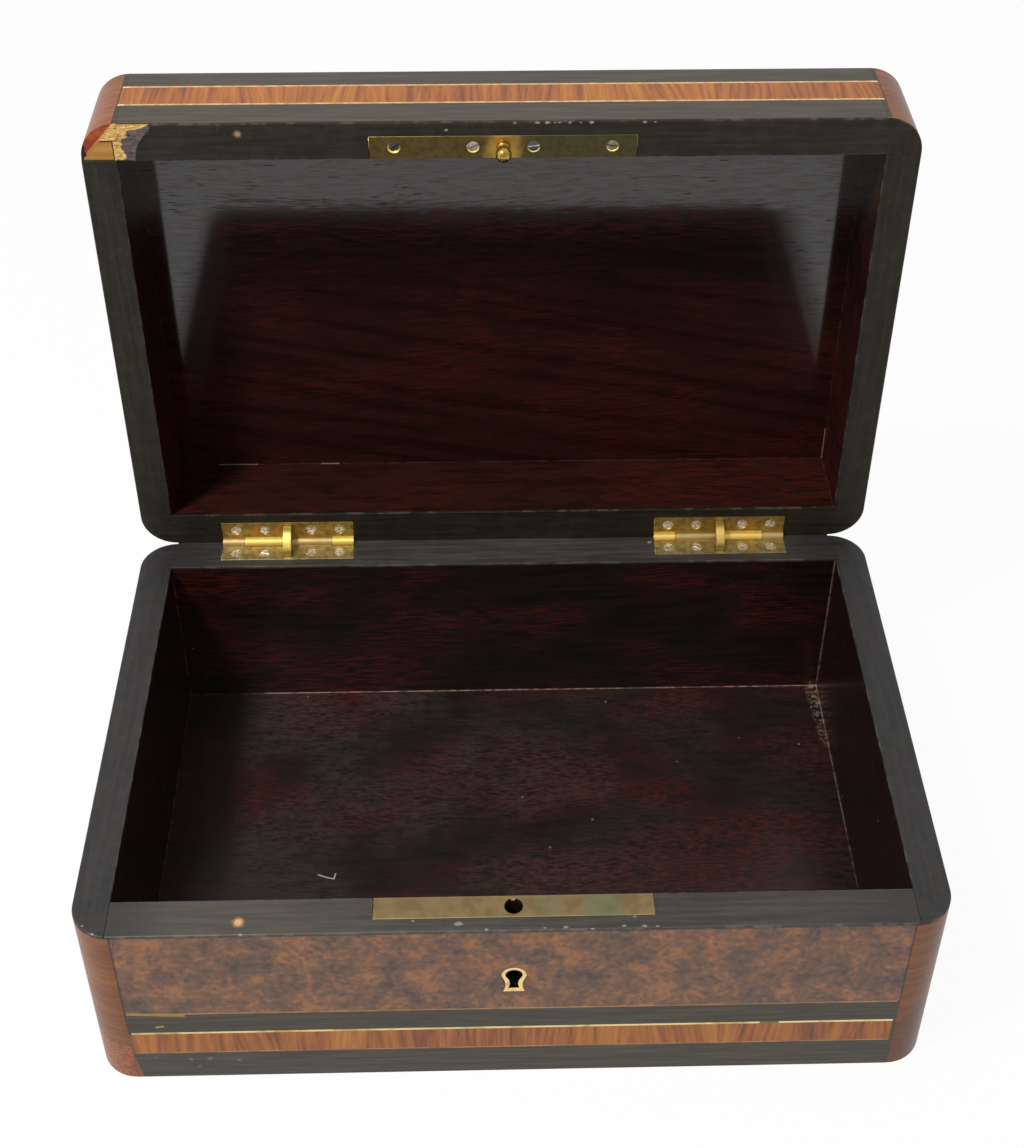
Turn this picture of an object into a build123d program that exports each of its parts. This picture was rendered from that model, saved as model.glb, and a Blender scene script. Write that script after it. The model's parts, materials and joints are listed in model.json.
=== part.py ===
from build123d import *

import os
from math import asin, cos, radians, sin

# An antique French glove box with a hinged lid, built the way a cabinet maker builds one.
#
# A softwood carcass with rebated corners is rounded by four kingwood corner blocks, then dressed outside
# with burr, kingwood and ebonised veneers parted by brass lines, and lined inside with rosewood. The
# meeting faces carry thin ebonised strips. Two brass hinges hold the lid open at a right angle with
# curved stop straps, and a half-mortise lock in the front wall grips a stud on the lid.
#
# Frame: millimetres, X to the right, Y to the back, Z up, origin at the centre of the underside of the
# case. The lid is modelled shut and then turned up about the hinge axis, because the box is stored open.

# ------------------------------------------------------------------ driving dimensions
BOX_WIDTH = 270.0  # outside, left to right
BOX_DEPTH = 177.0  # outside, front to back
CASE_HEIGHT = 74.5  # underside to hinge axis
LID_HEIGHT = 35.0  # hinge axis to top, lid shut
CORNER_RADIUS = 12.5
OPEN_ANGLE = 90.0  # where the stop straps hold the lid

SIDE_WALL = 11.5  # whole wall thicknesses, veneer and lining included
FRONT_WALL = 13.0
BACK_WALL = 13.5
VENEER = 0.8
LINING = 0.8
RIM = 1.0  # thickness of the ebonised strips on the meeting faces
RIM_GAP = 0.03  # each meeting face stands this far from the hinge plane

CORNER_LAP = 6.2  # how much of the front and back walls passes the ends of the side walls
BOTTOM_BOARD = 6.0
TOP_BOARD = 3.6
BOARD_REBATE = 4.0  # how far the boards are let into the walls

BRASS_LINE = 0.9  # width of the wide brass lines
THIN_BRASS_LINE = 0.6
CASE_LINES = ((13.5, THIN_BRASS_LINE), (24.2, BRASS_LINE), (34.5, THIN_BRASS_LINE))  # height, width
LID_LINES = ((13.2, BRASS_LINE), (25.2, BRASS_LINE))  # distance from the hinge plane, width
END_FILLET = 1.0  # ebonised strip between a corner block and the ends of the bands
TOP_BORDER = 10.5  # ebonised border on top of the lid
TOP_CROSSBAND = 11.3
TOP_EDGE = 0.5  # rounding of the lid's upper edge
RIM_EDGE = 0.3  # bevel round the meeting faces, but not along the hinge edge
# A piece of the lid's front rim strip broke away at the left corner: the torn edge, from the front inwards.
TORN_EDGE = [(-111.5, -89), (-112.2, -86.2), (-114.1, -84.5), (-116, -82), (-117.1, -79.4), (-117.8, -75)]

OVERCUT = 1.0  # how far a cutting shape stands past what it cuts

PLATE = 1.5  # thickness of every brass plate that a screw goes through
HINGE_LENGTH = 49.0
HINGE_CENTRE = 81.0  # from the middle of the box
LEAF_WIDTH = 9.6  # from hinge axis to edge of leaf
KNUCKLE_RADIUS = 2.2
KNUCKLE_CLEARANCE = 0.15
GROOVE_CLEARANCE = 0.25  # between the barrel and its groove in the wood
END_KNUCKLE = 8.1  # length of the outer knuckles
PIN_RADIUS = 0.9
PIN_CLEARANCE = 0.05  # in the lid's knuckles; the case's knuckles grip the pin
HINGE_SCREWS = (-19.3, -8.7, 8.7, 19.3)  # along the leaf
SLOT_TURNS = (35.0, 20.0, -10.0, 75.0)  # degrees that the screwdriver's last twist left each slot at
HINGE_SCREW_LINE = 5.9  # from the hinge axis

STRAP_THICKNESS = 3.2
STRAP_INSIDE = 5.0
STRAP_OUTSIDE = 8.0
STRAP_HEAD = 9.2  # radius to the tip of the heads that catch under the leaves
STRAP_OVERRUN = 22.0  # degrees that the strap runs past each leaf
STRAP_HEAD_GAP = 0.05  # between the heads and the undersides of the leaves, lid open
STRAP_NOSE = 0.4  # rounding of the heads' tips
SLOT_CLEARANCE = 0.15  # round the strap in the leaves
SLOT_INNER_CLEARANCE = 0.38  # on the side towards the barrel, where the strap curves away
MORTISE_SPARE = 0.5  # room under the strap's heads in the wood

SCREW_HEAD_RADIUS = 2.1
SCREW_SHANK_RADIUS = 1.0
SCREW_SLOT = 0.6
SLOT_DEPTH = 0.5
LONG_SCREW = 9.0
SHORT_SCREW = 6.5

PLATE_LENGTH = 86.0  # lock plate and catch plate
PLATE_WIDTH = 8.0
STUD_RADIUS = 2.6
STUD_NECK_RADIUS = 1.7
STUD_COLLAR_RADIUS = 2.3
STUD_COLLAR = 1.4  # height of the collar that seats on the plate
STUD_NECK = 3.6
STUD_LENGTH = 7.4
STUD_HOLE_RADIUS = 2.9
CATCH_SCREWS = (-35.0, -9.7, 9.7, 35.0)

LOCK_WIDTH = 56.0
LOCK_BOTTOM = 41.0  # height of the lock's underside above the table
LOCK_BACKPLATE_WIDTH = 68.0
LOCK_BACKPLATE_BOTTOM = 40.0
LOCK_BACKPLATE = 1.2
LOCK_SHELL = 1.0
LOCK_SCREW_HEIGHTS = (45.0, 67.0)
KEY_HEIGHT = 51.6  # centre of the keyhole's round part
KEY_REACH = 6.9  # from the key's axis to the tip of its bit
KEY_OPENING = dict(head=2.6, waist=1.5, foot=1.9, head_drop=1.5, foot_drop=KEY_REACH)
ESCUTCHEON = dict(head=4.05, waist=2.9, foot=3.7, head_drop=2.2, foot_drop=8.6)
ESCUTCHEON_DEPTH = 1.6
BOLT_TRAVEL = 6.0
BOLT_BAR = (56.2, 62.2)  # lower and upper edge of the bolt's bar
BOLT_BAR_HALF = 1.2  # half its thickness
BOLT_ENDS = (-18.0, 22.0)
BOLT_POST = 11.0  # width of the arm that carries the fork
FORK = 1.6  # thickness of the fork that grips the stud
FORK_HALF = 2.5  # half its width
FORK_CLEARANCE = 0.5  # between the stud and the fork, bolt drawn back
NECK_CLEARANCE = 0.15  # between the stud's neck and the fork's mouth
WORKS_CLEARANCE = 0.1  # between sliding pieces of the lock
TALON_CLEARANCE = 0.5  # at each end of the notch that the key's bit turns in
GUIDE_X = -12.0  # the pin that the bolt slides on
DRILL_PIN_RADIUS = 1.1
GUIDE_PIN_RADIUS = 1.2
SPRING = 0.5  # thickness of the spring
SPRING_WIDTH = 3.0
SPRING_RISE = 6.0  # height of its fixed end above the bolt
SPRING_BEND = (4.0, 4.4)  # the rest of its curve, from the lock's wall and from the top of the bolt
SPRING_KNEE = (8.0, 1.6)
SPRING_BEARING = 13.0  # where it presses on the bolt
SPRING_TIP = (18.0, 1.6)

# ------------------------------------------------------------------ derived places
HALF_WIDTH = BOX_WIDTH / 2
HALF_DEPTH = BOX_DEPTH / 2
INNER_X = HALF_WIDTH - SIDE_WALL
INNER_FRONT = -HALF_DEPTH + FRONT_WALL
INNER_BACK = HALF_DEPTH - BACK_WALL
FLAT_X = HALF_WIDTH - CORNER_RADIUS  # ends of the flat faces, where the corner blocks begin
FLAT_Y = HALF_DEPTH - CORNER_RADIUS
HINGE_AXIS = Axis((0, HALF_DEPTH, CASE_HEIGHT), (1, 0, 0))
CASE_RIM_TOP = CASE_HEIGHT - RIM_GAP
CASE_WALL_TOP = CASE_RIM_TOP - RIM
LID_RIM_FACE = CASE_HEIGHT + RIM_GAP
LID_WALL_FOOT = LID_RIM_FACE + RIM
LID_TOP = CASE_HEIGHT + LID_HEIGHT
LID_WALL_TOP = LID_TOP - VENEER
LID_CEILING = LID_WALL_TOP - TOP_BOARD
PLATE_Y = INNER_FRONT - PLATE_WIDTH / 2  # middle line of the lock plate, the catch plate and the stud
LOCK_FACE = INNER_FRONT - PLATE_WIDTH  # the lock's side towards the keyhole
LOCK_REAR = INNER_FRONT - LOCK_BACKPLATE
PLATE_UNDERSIDE = CASE_RIM_TOP - PLATE


# ------------------------------------------------------------------ helpers
def block(x, y, z):
    """A box from three (low, high) pairs."""
    size = [span[1] - span[0] for span in (x, y, z)]
    middle = [(span[0] + span[1]) / 2 for span in (x, y, z)]
    return Pos(*middle) * Box(*size)


def both_sides(half):
    """The pair of numbers -half and +half."""
    return (-half, half)


def bar_along_x(radius, x, y, z):
    """A round bar along X, from x[0] to x[1], centred on y and z."""
    return Pos((x[0] + x[1]) / 2, y, z) * Rot(0, 90, 0) * Cylinder(radius, x[1] - x[0])


def opened(shape):
    """Turns a piece of the lid from shut to open."""
    return shape.rotate(HINGE_AXIS, -OPEN_ANGLE)


def group(shapes):
    """Separate solids kept together as one node."""
    return Compound(children=[solid for shape in shapes for solid in shape.solids()])


def outline(z):
    """The outside of the box in plan, with its rounded corners, between two heights."""
    plan = RectangleRounded(BOX_WIDTH, BOX_DEPTH, CORNER_RADIUS)
    return Pos(0, 0, z[0]) * extrude(plan, z[1] - z[0])


def edges_round(shape, side):
    """The edges round the highest (side -1) or the lowest (side 0) face of a flat piece."""
    return shape.faces().sort_by(Axis.Z)[side].edges()


def rim_plan(z, side):
    """All the strips of a meeting face as one plate: bevelled round its face, and square at the hinge."""
    hinge_edge = block(both_sides(FLAT_X), (HALF_DEPTH - 2 * RIM_EDGE, HALF_DEPTH), z)
    return chamfer(edges_round(outline(z), side), RIM_EDGE) + hinge_edge


def carcass(z):
    """The wood behind the outside veneers: a rectangle with its corners cut off for the corner blocks."""
    plan = Rectangle(BOX_WIDTH - 2 * VENEER, BOX_DEPTH - 2 * VENEER)
    plan = chamfer(plan.vertices(), CORNER_RADIUS - VENEER)
    return Pos(0, 0, z[0]) * extrude(plan, z[1] - z[0])


def carcass_hollow(z, extra=0.0):
    """The room between the carcass walls, or the boards let into them when extra is their rebate."""
    return block(
        both_sides(INNER_X + LINING + extra),
        (INNER_FRONT - LINING - extra, INNER_BACK + LINING + extra),
        z,
    )


def carcass_walls(z):
    """Front, back, left and right walls with rebated corners: the side walls stop at the laps."""
    side_x = INNER_X + LINING
    lap = HALF_DEPTH - CORNER_LAP
    whole = carcass(z) - carcass_hollow(z)
    front_core = block(both_sides(side_x), (-HALF_DEPTH, INNER_FRONT), z)
    back_core = block(both_sides(side_x), (INNER_BACK, HALF_DEPTH), z)
    front_lap = block(both_sides(HALF_WIDTH), (-HALF_DEPTH, -lap), z)
    back_lap = block(both_sides(HALF_WIDTH), (lap, HALF_DEPTH), z)
    left_room = block((-HALF_WIDTH, -side_x), both_sides(lap), z)
    right_room = block((side_x, HALF_WIDTH), both_sides(lap), z)
    front = whole & (front_core + front_lap)
    back = whole & (back_core + back_lap)
    return front, back, whole & left_room, whole & right_room


def corner_blocks(z):
    """Four kingwood blocks glued on the cut-off carcass corners and rounded."""
    rounded = outline(z) - carcass(z)
    blocks = []
    for x in (-1, 1):
        for y in (-1, 1):
            span_x = sorted((x * FLAT_X, x * HALF_WIDTH))
            span_y = sorted((y * FLAT_Y, y * HALF_DEPTH))
            blocks.append(rounded & block(span_x, span_y, z))
    return blocks


FACES = {"front": (0, HALF_DEPTH, FLAT_X), "right": (90, HALF_WIDTH, FLAT_Y)}
FACES |= {"back": (180, HALF_DEPTH, FLAT_X), "left": (270, HALF_WIDTH, FLAT_Y)}
SHOW_FACES = ("front", "left", "right")  # the back is plain


def veneer(face, z, inset=0.0, end=0.0):
    """A strip of veneer on one face, between two heights; end keeps only a fillet that wide at each end."""
    turn, distance, half_length = FACES[face]
    y = (-distance, -distance + VENEER)
    if end:
        ends = [sorted((s * half_length, s * (half_length - end))) for s in (-1, 1)]
        return [Rot(0, 0, turn) * block(x, y, z) for x in ends]
    return [Rot(0, 0, turn) * block(both_sides(half_length - inset), y, z)]


def line_span(line, base=0.0):
    """Lower and upper edge of a brass line, given as its height above the base and its width."""
    height, width = line
    return (base + height - width / 2, base + height + width / 2)


def frame_ring(outer, inner, z):
    """A flat rectangular frame between two insets from the outside of the box."""
    ring = block(both_sides(HALF_WIDTH - outer), both_sides(HALF_DEPTH - outer), z)
    return ring - block(both_sides(HALF_WIDTH - inner), both_sides(HALF_DEPTH - inner), z)


def linings(z):
    """Wall linings: front and back between the side linings."""
    side = (INNER_X, INNER_X + LINING)
    whole_y = (INNER_FRONT - LINING, INNER_BACK + LINING)
    left = block((-side[1], -side[0]), whole_y, z)
    right = block(side, whole_y, z)
    front = block(both_sides(INNER_X), (INNER_FRONT - LINING, INNER_FRONT), z)
    back = block(both_sides(INNER_X), (INNER_BACK, INNER_BACK + LINING), z)
    return front, back, left, right


# ------------------------------------------------------------------ keyhole
def keyhole_outline(head, waist, foot, head_drop, foot_drop):
    """A keyhole about the key's centre: a round head, hollow flanks and a flat foot.

    head, waist and foot are half widths; head_drop and foot_drop are how far below the centre the head
    ends and the foot lies.
    """
    head_x = head * cos(asin(head_drop / head))
    flank_z = -(head_drop + foot_drop) / 2
    with BuildSketch(Plane.XZ) as sketch:
        with BuildLine():
            ThreePointArc((head_x, -head_drop), (0, head), (-head_x, -head_drop))
            ThreePointArc((-head_x, -head_drop), (-waist, flank_z), (-foot, -foot_drop))
            Line((-foot, -foot_drop), (foot, -foot_drop))
            ThreePointArc((foot, -foot_drop), (waist, flank_z), (head_x, -head_drop))
        make_face()
    return sketch.sketch


def keyhole(y, **shape):
    """The keyhole outline cut or filled between two depths, at the key's height."""
    face = keyhole_outline(**shape)
    return Pos(0, y[1], KEY_HEIGHT) * extrude(face, y[1] - y[0])


# ------------------------------------------------------------------ screws
def screw_blank(length, head=PLATE):
    """A countersunk screw before its slot is cut, with the top of its head at the origin."""
    rim = (SCREW_HEAD_RADIUS, 0)
    neck = (SCREW_SHANK_RADIUS, -head)
    end = (SCREW_SHANK_RADIUS, -length)
    profile = Polyline((0, 0), rim, neck, end, (0, -length), close=True)
    return revolve(make_face(Plane.XZ * profile), Axis.Z)


def slotted(blank, turn):
    """The screw with its slot cut, turned as the last twist of the screwdriver left it."""
    reach = 2 * SCREW_HEAD_RADIUS
    return blank - Rot(0, 0, turn) * block(both_sides(reach), both_sides(SCREW_SLOT / 2), (-SLOT_DEPTH, 1))


def pilot(length, head=PLATE):
    """The square hole that a bradawl leaves in the wood for a screw's shank."""
    return block(both_sides(SCREW_SHANK_RADIUS), both_sides(SCREW_SHANK_RADIUS), (-length, -head))


# ------------------------------------------------------------------ hinges
def knuckle_spans(case_side):
    """Where one leaf's knuckles lie along the left hinge, as spans from its middle."""
    half = HINGE_LENGTH / 2
    gap = KNUCKLE_CLEARANCE / 2
    cuts = (-half, -half + END_KNUCKLE, 0, half - END_KNUCKLE, half)
    spans = [(cuts[i] + gap, cuts[i + 1] - gap) for i in range(4)]
    return spans[0::2] if case_side else spans[1::2]


def leaf(case_side):
    """One leaf lying in the rim, under the axis for the case and above it for the lid, at the origin."""
    half = HINGE_LENGTH / 2
    z = (-RIM_GAP - PLATE, -RIM_GAP)
    body = block(both_sides(half), (-LEAF_WIDTH, 0), z)
    for span in knuckle_spans(not case_side):
        room = (span[0] - KNUCKLE_CLEARANCE, span[1] + KNUCKLE_CLEARANCE)
        body -= bar_along_x(KNUCKLE_RADIUS + KNUCKLE_CLEARANCE, room, 0, 0)
        body -= block(room, (-KNUCKLE_RADIUS, OVERCUT), (-PLATE - OVERCUT, OVERCUT))
    for span in knuckle_spans(case_side):
        body += bar_along_x(KNUCKLE_RADIUS, span, 0, 0)
    bore = PIN_RADIUS if case_side else PIN_RADIUS + PIN_CLEARANCE
    body -= bar_along_x(bore, both_sides(half), 0, 0)
    slot = (-STRAP_OUTSIDE - SLOT_CLEARANCE, -STRAP_INSIDE + SLOT_INNER_CLEARANCE)
    body -= block(both_sides(STRAP_THICKNESS / 2 + SLOT_CLEARANCE), slot, (-PLATE - OVERCUT, 0))
    for place in hinge_screw_places():
        body -= place * screw_blank(LONG_SCREW)
    return body if case_side else mirror(body, Plane.XY)


def hinge_screw_places():
    """Where the screws of a case leaf stand."""
    return [Pos(x, -HINGE_SCREW_LINE, -RIM_GAP) for x in HINGE_SCREWS]


def hinge_screws():
    """The four screws of a case leaf."""
    blank = screw_blank(LONG_SCREW)
    return [place * slotted(blank, turn) for place, turn in zip(hinge_screw_places(), SLOT_TURNS)]


def hinge_room():
    """What is cut from the wood under a leaf: its bed, the groove for the barrel, the strap's mortise."""
    half = HINGE_LENGTH / 2
    bed = block(both_sides(half), (-LEAF_WIDTH, OVERCUT), (-RIM_GAP - PLATE, OVERCUT))
    groove = bar_along_x(KNUCKLE_RADIUS + GROOVE_CLEARANCE, both_sides(half), 0, 0)
    depth = STRAP_HEAD * sin(radians(OPEN_ANGLE / 2 + STRAP_OVERRUN)) + MORTISE_SPARE
    back = STRAP_INSIDE * cos(radians(OPEN_ANGLE / 2 + STRAP_OVERRUN)) - SLOT_CLEARANCE
    mortise = block(
        both_sides(STRAP_THICKNESS / 2 + SLOT_CLEARANCE), (-LEAF_WIDTH, -back), (-depth, 0)
    )
    return bed + groove + mortise + [place * pilot(LONG_SCREW) for place in hinge_screw_places()]


def stop_strap():
    """A curved strap about the hinge axis that slides in both leaves; its heads catch under them.

    It is drawn as it lies with the lid open, in the plane across the axis. Angles are counted about the
    axis from the case leaf up to the lid leaf.
    """
    low, high = -STRAP_OVERRUN, OPEN_ANGLE + STRAP_OVERRUN
    reach = 2 * STRAP_HEAD
    under = reach / 2 + RIM_GAP + PLATE + STRAP_HEAD_GAP

    def sector(radius, start, end):
        arc = CenterArc((0, 0), radius, 180 - end, end - start)
        return make_face([arc, Line((0, 0), arc @ 0), Line(arc @ 1, (0, 0))])

    face = sector(STRAP_OUTSIDE, low, high)
    face += sector(STRAP_HEAD, low, 0) & (Pos(-reach / 2, -under) * Rectangle(reach, reach))
    face += sector(STRAP_HEAD, OPEN_ANGLE, high) & (Pos(under, reach / 2) * Rectangle(reach, reach))
    solid = extrude(Plane.YZ * (face - Circle(STRAP_INSIDE)), STRAP_THICKNESS / 2, both=True)
    tips = [e for e in solid.edges().filter_by(Axis.X) if distance_from_axis(e) > STRAP_HEAD - STRAP_NOSE]
    return fillet(tips, STRAP_NOSE)


def distance_from_axis(edge):
    """How far an edge along X lies from the X axis."""
    middle = edge.center()
    return (middle.Y**2 + middle.Z**2) ** 0.5


# ------------------------------------------------------------------ lock
def lock_plate():
    """The plate in the rim and the back plate inside the box, bent from one strip of brass."""
    top = block(both_sides(PLATE_LENGTH / 2), (LOCK_FACE, INNER_FRONT), (PLATE_UNDERSIDE, CASE_RIM_TOP))
    back = block(
        both_sides(LOCK_BACKPLATE_WIDTH / 2),
        (LOCK_REAR, INNER_FRONT),
        (LOCK_BACKPLATE_BOTTOM, PLATE_UNDERSIDE),
    )
    return top + back


def lock_screw_places():
    """Where the back plate's four screws stand, heads towards the inside of the box."""
    x = (LOCK_WIDTH + LOCK_BACKPLATE_WIDTH) / 4
    return [Pos(side * x, INNER_FRONT, z) * Rot(-90, 0, 0) for side in (-1, 1) for z in LOCK_SCREW_HEIGHTS]


def lock_housing():
    """The lock's shell: its front plate with the keyhole, and the wall round the works."""
    outside = block(both_sides(LOCK_WIDTH / 2), (LOCK_FACE, LOCK_REAR), (LOCK_BOTTOM, PLATE_UNDERSIDE))
    works = block(
        both_sides(LOCK_WIDTH / 2 - LOCK_SHELL),
        (LOCK_FACE + LOCK_SHELL, LOCK_REAR),
        (LOCK_BOTTOM + LOCK_SHELL, PLATE_UNDERSIDE),
    )
    front = (LOCK_FACE - OVERCUT, LOCK_FACE + LOCK_SHELL + OVERCUT)
    return outside - works - keyhole(front, **KEY_OPENING)


def bar_along_y(radius, x, y, z):
    """A round bar along Y, from y[0] to y[1], centred on x and z."""
    return Pos(x, (y[0] + y[1]) / 2, z) * Rot(90, 0, 0) * Cylinder(radius, y[1] - y[0])


def around_plate_line(half):
    """The span that reaches half to the front and half to the back of the plate's middle line."""
    return (PLATE_Y - half, PLATE_Y + half)


def lock_bolt():
    """The bolt, drawn back: a bar that the key throws, and a fork above it that grips the stud's neck."""
    fork_top = PLATE_UNDERSIDE - WORKS_CLEARANCE
    fork_z = (fork_top - FORK, fork_top)
    fork_tip = STUD_RADIUS + FORK_CLEARANCE
    thick = around_plate_line(BOLT_BAR_HALF)
    through = around_plate_line(2 * BOLT_BAR_HALF)
    bar = block(BOLT_ENDS, thick, BOLT_BAR)
    post = block((BOLT_ENDS[1] - BOLT_POST, BOLT_ENDS[1]), thick, (BOLT_BAR[0], fork_top))
    fork = block((fork_tip, BOLT_ENDS[1]), around_plate_line(FORK_HALF), fork_z)
    grip = STUD_NECK_RADIUS + NECK_CLEARANCE
    mouth = block((fork_tip, BOLT_TRAVEL), around_plate_line(grip), fork_z)
    mouth += Pos(BOLT_TRAVEL, PLATE_Y, fork_top - FORK / 2) * Cylinder(grip, FORK)
    bit_tip = KEY_HEIGHT + KEY_REACH + 2 * WORKS_CLEARANCE
    talon = block((-TALON_CLEARANCE, BOLT_TRAVEL + TALON_CLEARANCE), through, (BOLT_BAR[0], bit_tip))
    guide_z = sum(BOLT_BAR) / 2
    slot = GUIDE_PIN_RADIUS + WORKS_CLEARANCE
    guide = block((GUIDE_X, GUIDE_X + BOLT_TRAVEL), through, (guide_z - slot, guide_z + slot))
    for x in (GUIDE_X, GUIDE_X + BOLT_TRAVEL):
        guide += bar_along_y(slot, x, through, guide_z)
    return (fork - mouth) + post + bar - talon - guide


def lock_pins():
    """The drill pin that a hollow key turns on, and the pin that guides the bolt."""
    works = (LOCK_FACE + LOCK_SHELL, LOCK_REAR)
    guide = bar_along_y(GUIDE_PIN_RADIUS, GUIDE_X, works, sum(BOLT_BAR) / 2)
    return [bar_along_y(DRILL_PIN_RADIUS, 0, (LOCK_FACE, LOCK_REAR), KEY_HEIGHT), guide]


def lock_spring():
    """A bent strip of spring steel that bears on the top of the bolt and keeps it from creeping."""
    wall = -LOCK_WIDTH / 2 + LOCK_SHELL + SPRING / 2
    low = BOLT_BAR[1] + WORKS_CLEARANCE
    bend, knee, tip = ((wall + x, low + z) for x, z in (SPRING_BEND, SPRING_KNEE, SPRING_TIP))
    fall = ThreePointArc((wall, low + SPRING_RISE), bend, knee)
    bow = ThreePointArc(knee, (wall + SPRING_BEARING, low + SPRING / 2), tip)
    strip = trace(fall + bow, SPRING)
    return Pos(0, PLATE_Y, 0) * (Plane.XZ * extrude(strip, SPRING_WIDTH / 2, both=True))


# ------------------------------------------------------------------ lid catch
def catch_screw_places():
    """Where the catch plate's screws stand, heads down in the shut lid."""
    return [Pos(x, PLATE_Y, LID_RIM_FACE) * Rot(180, 0, 0) for x in CATCH_SCREWS]


def catch_screws():
    """The four screws of the catch plate."""
    blank = screw_blank(LONG_SCREW)
    return [spot * slotted(blank, turn) for spot, turn in zip(catch_screw_places(), SLOT_TURNS)]


def catch_plate():
    """The plate let into the lid's front rim, as if the lid were shut."""
    z = (LID_RIM_FACE, LID_RIM_FACE + PLATE)
    plate = block(both_sides(PLATE_LENGTH / 2), (LOCK_FACE, INNER_FRONT), z)
    plate -= Pos(0, PLATE_Y, LID_RIM_FACE + PLATE / 2) * Cylinder(STUD_NECK_RADIUS, PLATE)
    for spot in catch_screw_places():
        plate -= spot * screw_blank(LONG_SCREW)
    return plate


def stud():
    """The round-ended stud that drops into the lock: a tenon in the plate, a collar, a neck and a head."""
    ball_centre = -(STUD_LENGTH - STUD_RADIUS)
    crown = (STUD_RADIUS * sin(radians(45)), ball_centre - STUD_RADIUS * cos(radians(45)))
    lead = 0.3
    profile = [
        Line((0, PLATE), (STUD_NECK_RADIUS, PLATE)),
        Line((STUD_NECK_RADIUS, PLATE), (STUD_NECK_RADIUS, 0)),
        Line((STUD_NECK_RADIUS, 0), (STUD_COLLAR_RADIUS, 0)),
        Line((STUD_COLLAR_RADIUS, 0), (STUD_COLLAR_RADIUS, -STUD_COLLAR)),
        Line((STUD_COLLAR_RADIUS, -STUD_COLLAR), (STUD_NECK_RADIUS, -STUD_COLLAR - lead)),
        Line((STUD_NECK_RADIUS, -STUD_COLLAR - lead), (STUD_NECK_RADIUS, -STUD_NECK)),
        Line((STUD_NECK_RADIUS, -STUD_NECK), (STUD_RADIUS - lead, -STUD_NECK)),
        Line((STUD_RADIUS - lead, -STUD_NECK), (STUD_RADIUS, -STUD_NECK - lead)),
        Line((STUD_RADIUS, -STUD_NECK - lead), (STUD_RADIUS, ball_centre)),
        ThreePointArc((STUD_RADIUS, ball_centre), crown, (0, -STUD_LENGTH)),
        Line((0, -STUD_LENGTH), (0, PLATE)),
    ]
    body = revolve(Plane.XZ * make_face(profile), Axis.Z)
    return Pos(0, PLATE_Y, LID_RIM_FACE) * body


# ------------------------------------------------------------------ assembly
SIDES = ("left", "right")


def hinge_places():
    """Turns a left hinge drawn at the origin into the left and the right one, in the shut box."""
    left = Pos(-HINGE_CENTRE, HALF_DEPTH, CASE_HEIGHT)

    def place(shape, side):
        put = left * shape
        return put if side == "left" else mirror(put, Plane.YZ)

    return place


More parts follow.
